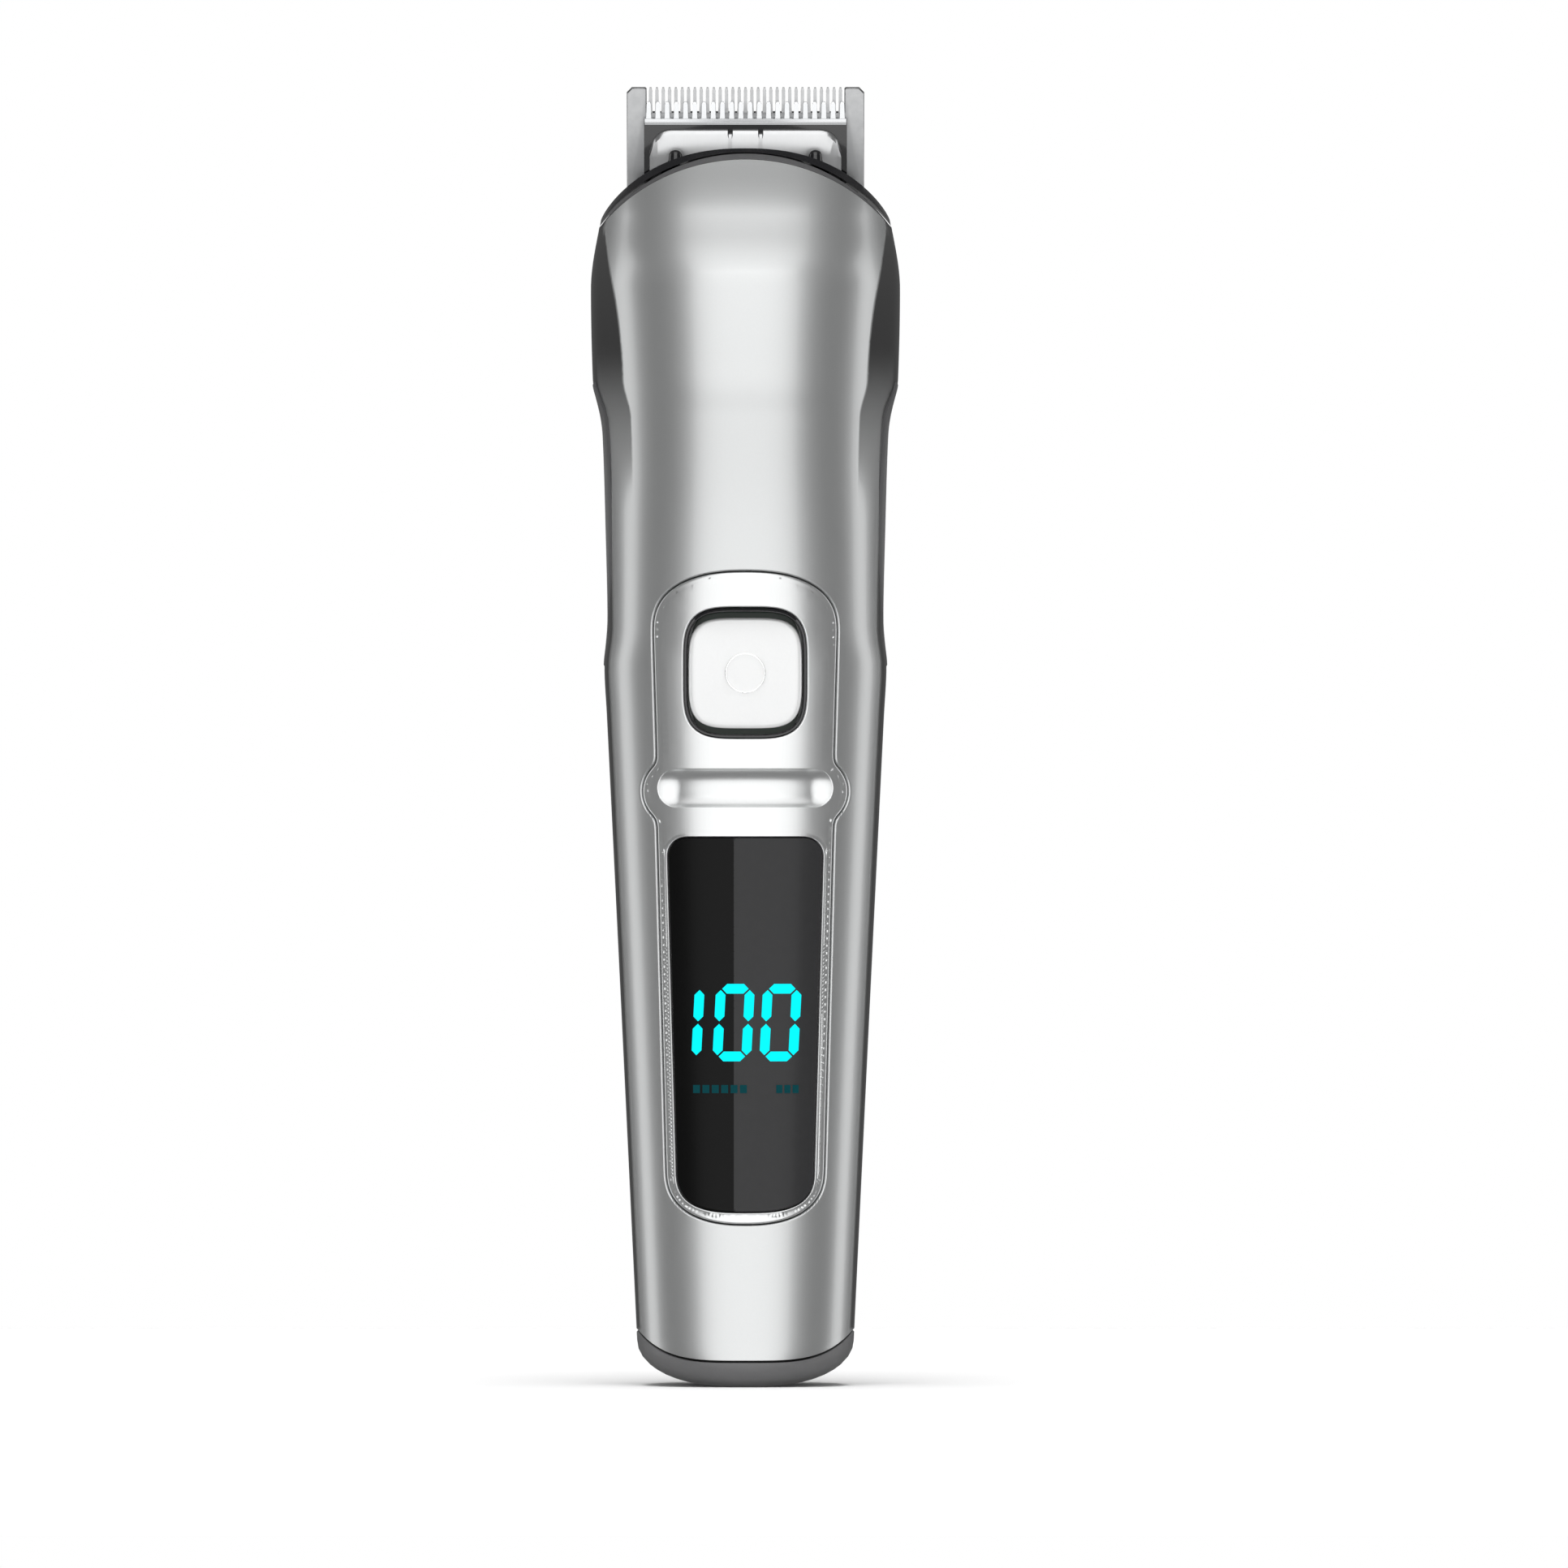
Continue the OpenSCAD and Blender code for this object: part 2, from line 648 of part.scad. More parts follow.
button_face_y = front_y(0, button_z) - 0.35;
button_t = 2.6;
crown_r = 60;
well_front_y = front_y(button_w / 2, button_z) + 0.6;
well_back_y = button_face_y + button_t + button_travel + run_gap + 1;
stem_r = 2.2;
board_front_y = -6.4;
board_t = 1;
switch_h = 3.2;
switch_w = 6;
switch_front_y = board_front_y - switch_h;
plunger_r = 1.6;
plunger_h = 1;
module power_button() {
    color([0.93, 0.93, 0.93])
    intersection() {
        through_y(button_face_y, switch_front_y - plunger_h) {
            translate([0, button_z]) button_outline(0);
        }
        union() {
            translate([0, button_face_y + crown_r, button_z]) sphere(r = crown_r, $fn = 200);
            translate([-stem_r, button_face_y, button_z - stem_r]) cube([2 * stem_r, 1, 2 * stem_r]);
        }
        union() {
            translate([-big / 2, button_face_y - 1, 0]) cube([big, button_t + 1, big]);
            translate([0, button_face_y, button_z]) rotate([-90, 0, 0])
                cylinder(r = stem_r, h = switch_front_y - plunger_h - button_face_y - fit_gap);
        }
    }
}
ring_line = 0.22;
module button_ring() {
    color([0.8, 0.8, 0.8])
    translate([0, button_face_y - fit_gap / 2, button_z]) rotate([90, 0, 0])
        rotate_extrude($fn = 64) translate([button_ring_d / 2 - ring_line, 0])
            square([ring_line, ring_line]);
}
module switch_plunger() {
    color([0.15, 0.15, 0.15])
    translate([0, switch_front_y - plunger_h, button_z]) rotate([-90, 0, 0])
        cylinder(r = plunger_r, h = plunger_h - 0.1);
}
module tact_switch() {
    color([0.25, 0.25, 0.26])
    difference() {
        translate([-switch_w / 2, switch_front_y, button_z - switch_w / 2])
            cube([switch_w, switch_h - fit_gap, switch_w]);
        translate([0, switch_front_y - 1, button_z]) rotate([-90, 0, 0])
            cylinder(r = plunger_r + run_gap, h = 1 + button_travel + 0.2);
    }
}
module button_well() {
    color([0.05, 0.05, 0.05])
    difference() {
        through_y(well_front_y, well_back_y) translate([0, button_z]) well_outline(well_wall + button_gap);
        through_y(-big, well_back_y - 1) translate([0, button_z]) well_outline(button_gap);
        translate([0, 0, button_z]) rotate([90, 0, 0]) cylinder(r = stem_r + run_gap, h = big);
    }
}

// ---- display ----

window_sections = within(upper_sections, window_bottom - 3, window_top + 3);
segment_t = 1.2;       // stroke of a segment
segment_gap = 0.15;
digit_slant = 3;
digit_places = [1.4 - 1.5 * digit_w - 2, 1.4 - digit_w / 2 - 0.6, 1.4 + digit_w / 2 + 0.4];
// Corners of one upright bar of a digit, pointed at both ends
module segment(len) {
    half = len / 2 - segment_gap;
    bar = segment_t / 2;
    polygon([[0, -half], [bar, bar - half], [bar, half - bar], [0, half], [-bar, half - bar],
        [-bar, bar - half]]);
}
module digit(flat_bars, left_bars) {
    side_x = (digit_w - segment_t) / 2;
    half_h = (digit_h - segment_t) / 2;
    for (up = [-1, 1]) {
        translate([side_x, up * half_h / 2]) segment(half_h);
        if (left_bars) translate([-side_x, up * half_h / 2]) segment(half_h);
        if (flat_bars) translate([0, up * half_h]) rotate(90) segment(2 * side_x);
    }
}
module digits_outline() {
    multmatrix([[1, tan(digit_slant), 0, 0], [0, 1, 0, 0], [0, 0, 1, 0]]) for (i = [0:2])
        translate([digit_places[i] + 0.15, 0]) digit(i > 0, i > 0);
}
digit_depth = 0.6;
module display_window() {
    color([0.04, 0.04, 0.045])
    difference() {
        intersection() {
            front_skin(window_sections, 0, window_t);
            through_y(-big, -2) window_outline(0);
        }
        through_y(-big, 0) translate([0, digit_z]) offset(r = 0.02) digits_outline();
    }
}
module display_digits() {
    color([0.1, 0.95, 0.98])
    intersection() {
        front_skin(within([], digit_z - digit_h, digit_z + digit_h), 0.02, window_t - 0.02);
        through_y(-big, -2) translate([0, digit_z]) digits_outline();
    }
}
module_w = 14.4;
module_t = 2.2;
module_low = window_bottom + 5;
module_high = window_top - 2;
module display_module() {
    color([0.9, 0.9, 0.88])
    translate([-module_w / 2, board_front_y - module_t - fit_gap, module_low])
        cube([module_w, module_t, module_high - module_low]);
}
board_w = 17;
board_low = panel_bottom + 2.5;
board_high = panel_top - 4;
module main_board() {
    color([0.05, 0.32, 0.16])
    translate([-board_w / 2, board_front_y, board_low]) cube([board_w, board_t, board_high - board_low]);
}
module board_parts() {
    color([0.12, 0.12, 0.13]) {
        translate([-6, board_front_y + board_t + fit_gap, board_high - 14]) cube([6, 1.4, 6]);
        translate([3, board_front_y + board_t + fit_gap, board_high - 12]) cube([3, 1.2, 3]);
        for (i = [0:3]) translate([-6 + 3.4 * i, board_front_y + board_t + fit_gap, board_high - 19])
            cube([1.6, 0.8, 0.8]);
    }
}

// ---- battery ----

cell_y = board_front_y + board_t + 1.9 + cell_d / 2;
cell_low = lower_screw_z + boss_r + 2.2;
cradle_t = 1.2;
module battery_cell() {
    color([0.15, 0.35, 0.62])
    translate([0, cell_y, cell_low]) {
        cylinder(d = cell_d, h = cell_len - 1.2);
        cylinder(d = 5.5, h = cell_len);
    }
}
module battery_cradle() {
    color([0.12, 0.12, 0.12])
    translate([0, cell_y, cell_low - cradle_t - 0.5]) difference() {
        union() {
            intersection() {
                cylinder(d = cell_d + 2 * cradle_t, h = cell_len + 2 * cradle_t + 1);
                translate([-big / 2, -1, 0]) cube([big, big, big]);
            }
        }
        translate([0, 0, cradle_t]) cylinder(d = cell_d + 2 * fit_gap, h = cell_len + 1);
    }
}
tab_t = 0.2;
tab_w = 4;
module battery_tabs() {
    color([0.8, 0.78, 0.72])
    for (end = [0, 1])
        translate([-tab_w / 2, cell_y - cell_d / 2 - 0.6,
            cell_low + (end == 1 ? cell_len + fit_gap : -tab_t - fit_gap)])
            cube([tab_w, cell_d / 2 + 3, tab_t]);
}

// ---- motor and eccentric ----

motor_y = 1.5;
can_top = overall_len - 31;
can_low = can_top - motor_len;
can_wall = 0.8;
bell_t = 2;
cam_low = can_top + 2.6;
cam_t = 3.2;
cam_roof = 0.6;
shaft_top = cam_low + cam_t - cam_roof - fit_gap;
cam_r = 3.6;
pin_top = overall_len - 16.6;
magnet_t = 1.6;
armature_r = motor_flats / 2 - can_wall - 0.6;
bush_r = 2.6;
bush_t = 2;
module at_motor(z) {
    translate([0, motor_y, z]) children();
}
module can_profile(inset) {
    intersection() {
        circle(d = motor_d - 2 * inset, $fn = 64);
        square([big, motor_flats - 2 * inset], center = true);
    }
}
module motor_can() {
    color([0.7, 0.71, 0.72])
    difference() {
        at_motor(can_low) linear_extrude(motor_len) can_profile(0);
        at_motor(can_low - 1) linear_extrude(motor_len + 1 - can_wall) can_profile(can_wall);
        at_motor(can_low) cylinder(r = bush_r + fit_gap, h = big);
        at_motor(can_top - 1.5) for (side = [-1, 1]) translate([side * mount_screw_x, 0, 0])
            cylinder(d = mount_screw_d + fit_gap, h = 3);
    }
}
module motor_magnets() {
    color([0.2, 0.2, 0.2])
    at_motor(can_low + bell_t + 2) linear_extrude(motor_len - bell_t - 8) intersection() {
        difference() {
            can_profile(can_wall + fit_gap);
            circle(r = armature_r + 0.5, $fn = 64);
        }
        for (side = [-1, 1]) translate([side * motor_d / 2, 0]) square([9, 11], center = true);
    }
}
module motor_end_bell() {
    color([0.85, 0.84, 0.8])
    difference() {
        union() {
            at_motor(can_low - 1.2) linear_extrude(1.2 - fit_gap) can_profile(0);
            at_motor(can_low - 1.2) linear_extrude(1.2 + bell_t) can_profile(can_wall + fit_gap);
        }
        at_motor(can_low - 5) cylinder(r = bush_r + fit_gap, h = 20);
        for (side = [-1, 1]) at_motor(can_low) translate([side * terminal_x, 0, 0])
            cube([terminal_t + 2 * run_gap, terminal_w + 2 * run_gap, 12], center = true);
    }
}
module motor_bushes() {
    color([0.72, 0.55, 0.3])
    for (z = [can_low - 1.2, can_top - can_wall]) at_motor(z) difference() {
        cylinder(r = bush_r, h = bush_t);
        translate([0, 0, -1]) cylinder(d = shaft_d + 2 * fit_gap, h = bush_t + 2);
    }
}
terminal_x = 3.3;
terminal_t = 0.5;
terminal_w = 2;
terminal_drop = 4;
commutator_r = 2.4;
commutator_low = can_low + bell_t + 0.2;
commutator_len = 2.6;
module motor_brushes() {
    color([0.78, 0.5, 0.25])
    for (side = [-1, 1]) at_motor(commutator_low + 0.3)
        translate([side > 0 ? commutator_r + run_gap : -commutator_r - run_gap - 1.6, -1, 0])
            cube([1.6, 2, 1.8]);
}
module motor_terminals() {
    color([0.8, 0.7, 0.4])
    for (side = [-1, 1]) at_motor(can_low - terminal_drop)
        translate([side * terminal_x - terminal_t / 2, -terminal_w / 2, 0])
            cube([terminal_t, terminal_w, terminal_drop + commutator_low - can_low]);
}
module motor_shaft() {
    color([0.8, 0.81, 0.82])
    at_motor(can_low - 1) cylinder(d = shaft_d, h = shaft_top - can_low + 1);
}
core_low = commutator_low + commutator_len + 1.4;
core_top = can_top - 3.6;
module motor_armature() {
    color([0.6, 0.42, 0.3])
    at_motor(core_low) difference() {
        cylinder(r = armature_r, h = core_top - core_low);
        for (a = [0, 120, 240]) rotate(a) translate([armature_r - 1.6, -0.6, -1]) cube([3, 1.2, big]);
        translate([0, 0, -1]) cylinder(d = shaft_d + 0.02, h = big);
    }
}
module motor_commutator() {
    color([0.8, 0.5, 0.25])
    at_motor(commutator_low) difference() {
        cylinder(r = commutator_r, h = commutator_len);
        translate([0, 0, -1]) cylinder(d = shaft_d + 0.02, h = big);
        for (a = [60, 180, 300]) rotate(a) translate([commutator_r - 0.5, -0.15, -1]) cube([2, 0.3, big]);
    }
}
mount_t = 1.2;
mount_w = 25;
mount_d = 17;
mount_screw_x = 5.5;
mount_screw_d = 2;
module motor_mount() {
    color([0.13, 0.13, 0.13])
    at_motor(can_top + fit_gap) difference() {
        intersection() {
            translate([-mount_w / 2, -mount_d / 2, 0]) cube([mount_w, mount_d, mount_t]);
            cylinder(d = mount_w + 1, h = mount_t);
        }
        translate([0, 0, -1]) cylinder(r = bush_r + fit_gap, h = 4);
        for (side = [-1, 1]) translate([side * mount_screw_x, 0, -1])
            cylinder(d = mount_screw_d + 2 * run_gap, h = 4);
    }
}
module motor_screws() {
    color([0.6, 0.6, 0.62])
    at_motor(can_top + mount_t + 2 * fit_gap) for (side = [-1, 1]) translate([side * mount_screw_x, 0, 0]) {
        cylinder(r = 1.7, h = 0.9);
        translate([0, 0, -mount_t - 0.9]) cylinder(d = mount_screw_d, h = mount_t + 1);
    }
}
module eccentric_cam() {
    color([0.92, 0.92, 0.9])
    at_motor(cam_low) difference() {
        union() {
            cylinder(r = cam_r, h = cam_t);
            intersection() {
                cylinder(r = cam_r + 1.4, h = 1.8);
                translate([-cam_r - 2, -big / 2, 0]) cube([cam_r, big, 2]);
            }
        }
        translate([0, 0, -1]) cylinder(d = shaft_d + 0.02, h = 1 + cam_t - cam_roof);
    }
}
module drive_pin() {
    color([0.82, 0.83, 0.84])
    at_motor(cam_low + cam_t) translate([throw, 0, 0.01]) {
        cylinder(d = pin_d, h = pin_top - cam_low - cam_t - pin_d / 2);
        translate([0, 0, pin_top - cam_low - cam_t - pin_d / 2]) sphere(d = pin_d, $fn = 32);
    }
}

// ---- top of the handle: the frame that takes the head's plug ----

plug_half_w = 9.6;
plug_front = -6;
plug_back = 7;
plug_low = overall_len - 22.5;
plug_wall = 1.4;
module plug_outline(grow) {
    offset(r = 2 + grow) translate([-plug_half_w + 2, plug_front + 2])
        square([2 * plug_half_w - 4, plug_back - plug_front - 4]);
}
frame_low = plug_low + 1;
frame_top = corner_z - 0.6;
module top_frame() {
    color([0.14, 0.14, 0.14])
    translate([0, 0, frame_low]) linear_extrude(frame_top - frame_low) difference() {
        ring_section(frame_top, wall + open_gap);
        plug_outline(run_gap);
    }
}
seal_t = 0.8;
module head_seal() {
    color([0.06, 0.06, 0.06])
    translate([0, 0, frame_top + fit_gap]) linear_extrude(seal_t) difference() {
        plug_outline(1.2);
        plug_outline(run_gap);
    }
}
rim_t = 2.2;
rim_sections = within(upper_sections, corner_z - 1, nose_h);
module nose_rim() {
    color([0.4, 0.4, 0.41])
    intersection() {
        difference() {
            whole_body(rim_sections, 0);
            whole_body(rim_sections, rim_t);
        }
        arch_cut(rim_crown, rim_corner_lift);
        difference() {
            translate([-big / 2, -big / 2, corner_z - 5]) cube([big, big, big]);
            arch_cut(shell_crown + 0.08, 0.08);
        }
    }
}

// ---- the removable head ----

blade_back_y = 3;      // back face of the fixed blade at its tips
blade_len = 13.3;
cutter_len = 9.4;
blade_gap = 0.02;
cutter_front = -blade_t - blade_gap - cutter_t;
frame_t = 1;
frame_front = cutter_front - run_gap - frame_t;
plate_t = 1;
plate_front = frame_front - fit_gap - plate_t;
cutter_frame_top = -4.25;
plate_top = -4.85;
plate_w = 23.6;
seat_top = -cutter_len - tip_setback - open_gap;
seat_low = -16.4;
seat_front = frame_front;
yoke_half_w = 3.4;
yoke_room = yoke_half_w + throw + open_gap;
fork_room = throw + pin_d / 2 + throw + run_gap;
fork_wall = 1.3;
fork_half_w = fork_room + fork_wall;
seat_room = max(yoke_half_w, fork_half_w) + throw + open_gap;

// Blade space: x across, y back, z up from the tips of the fixed blade, leaning to the front
module blade_space() {
    translate([0, blade_back_y, overall_len]) rotate([lean, 0, 0]) children();
}
// A box given by its limits
module box(x, y, z) {
    translate([x[0], y[0], z[0]]) cube([x[1] - x[0], y[1] - y[0], z[1] - z[0]]);
}
fixed_span = 24.2;
fixed_pitch = fixed_span / fixed_teeth;
fixed_slot = 0.34;
fixed_slot_len = 3;
blade_corner_x = 12.2;   // outside this the plate's foot would meet the casing's arch
module fixed_blade() {
    color([0.68, 0.69, 0.7])
    difference() {
        fixed_blade_plate();
        intersection() {
            arch_cut(rim_crown + 0.5, rim_corner_lift + 0.6);
            for (side = [-1, 1]) scale([side, 1, 1]) box([blade_corner_x, big], [-big, big], [0, big]);
        }
    }
}
module fixed_blade_plate() {
    blade_space() difference() {
        box([-blade_w / 2, blade_w / 2], [-blade_t, 0], [-blade_len, 0]);
        for (i = [0:fixed_teeth]) translate([(i - fixed_teeth / 2) * fixed_pitch, 0, 0])
            box([-fixed_slot / 2, fixed_slot / 2], [-blade_t - 1, 1], [-fixed_slot_len, 1]);
        for (side = [-1, 1]) translate([side * blade_w / 2, 0, 0]) rotate([0, 45, 0])
            cube([0.9, 3 * blade_t, 0.9], center = true);
        for (side = [-1, 1]) translate([side * blade_screw_x, 1, blade_screw_z]) rotate([90, 0, 0])
            cylinder(d = blade_screw_d + 2 * run_gap, h = blade_t + 2);
    }
}
moving_pitch = cutter_w / (moving_teeth - 0.5);
moving_slot = 0.57;
moving_slot_len = 2;
module moving_blade() {
    color([0.85, 0.86, 0.87])
    blade_space() difference() {
        box([-cutter_w / 2, cutter_w / 2], [cutter_front, -blade_t - blade_gap],
            [-cutter_len - tip_setback, -tip_setback]);
        for (i = [1:moving_teeth - 1]) translate([(i - moving_teeth / 2) * moving_pitch, 0, 0])
            box([-moving_slot / 2, moving_slot / 2], [-5, 0], [-tip_setback - moving_slot_len, 0]);
    }
}
blade_screw_x = 8.4;
blade_screw_z = -12.4;
blade_screw_len = 1.8;
blade_head_r = 1.7;
blade_head_t = 0.9;
module blade_seat() {
    color([0.1, 0.1, 0.1])
    blade_space() difference() {
        box([-12, 12], [seat_front, -blade_t - fit_gap], [seat_low, seat_top]);
        box([-seat_room, seat_room], [-10, 5], [seat_low - 1, 0]);
        for (side = [-1, 1]) translate([side * blade_screw_x, 1, blade_screw_z]) rotate([90, 0, 0])
            cylinder(d = blade_screw_d + 0.02, h = blade_t + blade_screw_len + 1);
    }
}
module blade_screws() {
    color([0.6, 0.61, 0.62])
    blade_space() for (side = [-1, 1]) translate([side * blade_screw_x, 0, blade_screw_z])
        rotate([90, 0, 0]) {
        translate([0, 0, -blade_head_t - fit_gap]) cylinder(r = blade_head_r, h = blade_head_t);
        translate([0, 0, -blade_head_t])
            cylinder(d = blade_screw_d, h = blade_head_t + blade_t + blade_screw_len);
    }
}
spring_window = [5, 10.6];
spring_low = -10.4;
spring_high = -7.4;
module cutter_frame() {
    color([0.07, 0.07, 0.07])
    blade_space() difference() {
        box([-cutter_w / 2, cutter_w / 2], [frame_front, frame_front + frame_t],
            [seat_top + fit_gap, cutter_frame_top]);
        box([-yoke_room, yoke_room], [-10, 0], [-20, spring_high]);
        for (side = [-1, 1]) scale([side, 1, 1]) box(spring_window, [-10, 0], [spring_low, spring_high]);
    }
}
leaf_t = 0.2;
module blade_springs() {
    color([0.75, 0.76, 0.78])
    blade_space() for (side = [-1, 1]) scale([side, 1, 1])
        translate([0, 0, spring_low + run_gap]) linear_extrude(spring_high - spring_low - 2 * run_gap) {
            from = spring_window[0] + run_gap;
            to = spring_window[1] - run_gap;
            middle = (from + to) / 2;
            near = frame_front + frame_t;
            far = frame_front + fit_gap;
            polygon([[from, far], [from, far + leaf_t], [middle, near], [to, far + leaf_t], [to, far],
                [middle, near - leaf_t]]);
        }
}
module cover_plate() {
    color([0.86, 0.86, 0.86])
    blade_space() translate([0, frame_front - fit_gap, 0]) rotate([90, 0, 0]) linear_extrude(plate_t) {
        hull() {
            for (side = [-1, 1]) translate([side * (plate_w / 2 - 2.7), plate_top - 2.7])
                circle(r = 2.7, $fn = 32);
            translate([-plate_w / 2, seat_top]) square([plate_w, 1]);
        }
    }
}
// The fork stands either side of the pin wherever the pin and the cutter are in their travel
fork_low = overall_len - 20;
fork_half_d = 2.8;
bridge_low = pin_top + open_gap;
bridge_top = overall_len - 13.6;
module drive_yoke() {
    color([0.9, 0.9, 0.88])
    union() {
        for (side = [-1, 1]) scale([side, 1, 1])
            box([fork_room, fork_half_w], [motor_y - fork_half_d, motor_y + fork_half_d],
                [fork_low, bridge_low + 0.5]);
        intersection() {
            box([-fork_half_w, fork_half_w], [motor_y - fork_half_d, motor_y + fork_half_d],
                [bridge_low, bridge_top]);
            blade_space() box([-big, big], [-20, cutter_front - 0.02], [-20, seat_top + 2]);
        }
        blade_space() box([-yoke_half_w, yoke_half_w], [frame_front + 0.05, cutter_front - 0.02],
            [-13.9, spring_high - run_gap]);
    }
}
// Two round catches that a guide comb clips over
catch_x = 8.6;
catch_y = -3;
catch_r = 0.85;
catch_top = overall_len - 7.9;
catch_foot = overall_len - 10.2;
module comb_catches() {
    for (side = [-1, 1]) translate([side * catch_x, catch_y, catch_foot]) {
        cylinder(r1 = 2 * catch_r, r2 = catch_r, h = (catch_top - catch_foot) / 2, $fn = 32);
        cylinder(r = catch_r, h = catch_top - catch_foot - catch_r, $fn = 32);
        translate([0, 0, catch_top - catch_foot - catch_r]) sphere(r = catch_r, $fn = 32);
    }
}
module head_stack_room() {
    blade_space() {
        box([-blade_w / 2 - run_gap, blade_w / 2 + run_gap], [-blade_t - 0.4, 0.15], [-blade_len - 0.3, 5]);
        box([-cutter_w / 2 - throw - open_gap, cutter_w / 2 + throw + open_gap],
            [plate_front - 0.1, 0], [seat_top - 0.2, 5]);
        box([-12.1, 12.1], [seat_front - 0.1, 0], [seat_low - 0.1, 0]);
        for (side = [-1, 1]) translate([side * blade_screw_x, 2, blade_screw_z]) rotate([90, 0, 0])
            cylinder(r = blade_head_r + run_gap, h = 3);
    }
}
collar_sections = within(upper_sections, corner_z - 1, nose_h);
module head_collar() {
    color([0.07, 0.07, 0.075])
    difference() {
        union() {
            intersection() {
                whole_body(collar_sections, 0.05);
                through_y(-big, big) collar_arch(0);
                difference() {
                    translate([-big / 2, -big / 2, corner_z - 1]) cube([big, big, big]);
                    arch_cut(rim_crown + 0.15, rim_corner_lift + 0.3);
                }
            }
            intersection() {
                translate([0, 0, plug_low]) linear_extrude(nose_h - plug_low) plug_outline(0);
                whole_body(within(upper_sections, plug_low - 1, nose_h), rim_t + open_gap);
                through_y(-big, big) collar_arch(open_gap);
            }
            comb_catches();
        }
        intersection() {
            translate([0, 0, plug_low - 1]) linear_extrude(nose_h - plug_low) plug_outline(-plug_wall);
            through_y(-big, big) collar_arch(1.6);
        }
        head_stack_room();
    }
}

front_shell();
rear_shell();
side_grip(-1);  // side_grip_left
side_grip(1);  // side_grip_right
nose_rim();
control_panel();
panel_carrier();
button_well();
power_button();
button_ring();
switch_plunger();
display_window();
display_digits();
display_module();
main_board();
tact_switch();
board_parts();
charge_board();
usb_socket();
usb_tongue();
battery_cell();
battery_cradle();
battery_tabs();
motor_can();
motor_magnets();
motor_end_bell();
motor_brushes();
motor_terminals();
motor_bushes();
motor_shaft();
motor_armature();
motor_commutator();
motor_mount();
motor_screws();
eccentric_cam();
drive_pin();
top_frame();
head_seal();
head_collar();
blade_seat();
fixed_blade();
blade_screws();
blade_springs();
cutter_frame();
cover_plate();
moving_blade();
drive_yoke();
end_cap();
end_cap_seal();
housing_screws();
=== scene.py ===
"""Looks of a cordless beard trimmer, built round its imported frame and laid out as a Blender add-on."""

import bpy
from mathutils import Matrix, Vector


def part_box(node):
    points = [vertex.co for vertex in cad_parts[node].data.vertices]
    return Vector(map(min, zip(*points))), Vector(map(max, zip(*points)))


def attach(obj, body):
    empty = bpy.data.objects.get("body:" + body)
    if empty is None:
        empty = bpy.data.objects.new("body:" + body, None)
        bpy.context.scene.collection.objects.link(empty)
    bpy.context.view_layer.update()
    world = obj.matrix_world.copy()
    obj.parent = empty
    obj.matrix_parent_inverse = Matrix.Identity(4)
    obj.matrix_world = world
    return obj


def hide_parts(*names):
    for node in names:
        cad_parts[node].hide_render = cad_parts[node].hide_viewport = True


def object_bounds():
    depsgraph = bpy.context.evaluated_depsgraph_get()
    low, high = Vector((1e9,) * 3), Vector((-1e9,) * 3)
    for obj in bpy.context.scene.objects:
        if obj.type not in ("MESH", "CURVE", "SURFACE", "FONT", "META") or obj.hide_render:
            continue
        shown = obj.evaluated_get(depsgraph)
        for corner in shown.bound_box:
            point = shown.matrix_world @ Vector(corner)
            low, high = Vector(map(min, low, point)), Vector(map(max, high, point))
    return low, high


bl_info = {
    "name": "Beard trimmer looks",
    "version": (1, 0, 0),
    "blender": (4, 5, 0),
    "location": "3D View > Sidebar > Trimmer",
    "description": "Builds the visible shells, panel, display and blades of a beard trimmer round its frame",
    "category": "Object",
}

import math

import bmesh
import bpy
import numpy as np
from bpy.props import FloatProperty, FloatVectorProperty, IntProperty, PointerProperty
from mathutils import Vector
from mathutils.geometry import delaunay_2d_cdt

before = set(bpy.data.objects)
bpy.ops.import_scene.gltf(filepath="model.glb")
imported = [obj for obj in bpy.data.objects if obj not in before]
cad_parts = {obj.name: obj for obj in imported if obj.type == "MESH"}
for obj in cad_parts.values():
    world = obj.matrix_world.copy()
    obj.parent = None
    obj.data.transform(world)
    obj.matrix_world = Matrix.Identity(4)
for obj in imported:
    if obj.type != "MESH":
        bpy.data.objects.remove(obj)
CAD_BOX = [list(corner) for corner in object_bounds()]

MM = 0.001                       # the shapes below are worked out in millimetres and stored in metres
TOP = CAD_BOX[1][2] / MM         # height of the blade tips
HEAD_W = (CAD_BOX[1][0] - CAD_BOX[0][0]) / MM
FRONT = -CAD_BOX[0][1] / MM      # greatest depth in front of the seam plane
BACK = CAD_BOX[1][1] / MM


def limits(node):
    """Lowest and highest corner of a frame node, in millimetres."""
    low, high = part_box(node)
    return np.array(low) / MM, np.array(high) / MM


# -------------------------------------------------------------------------------- settings


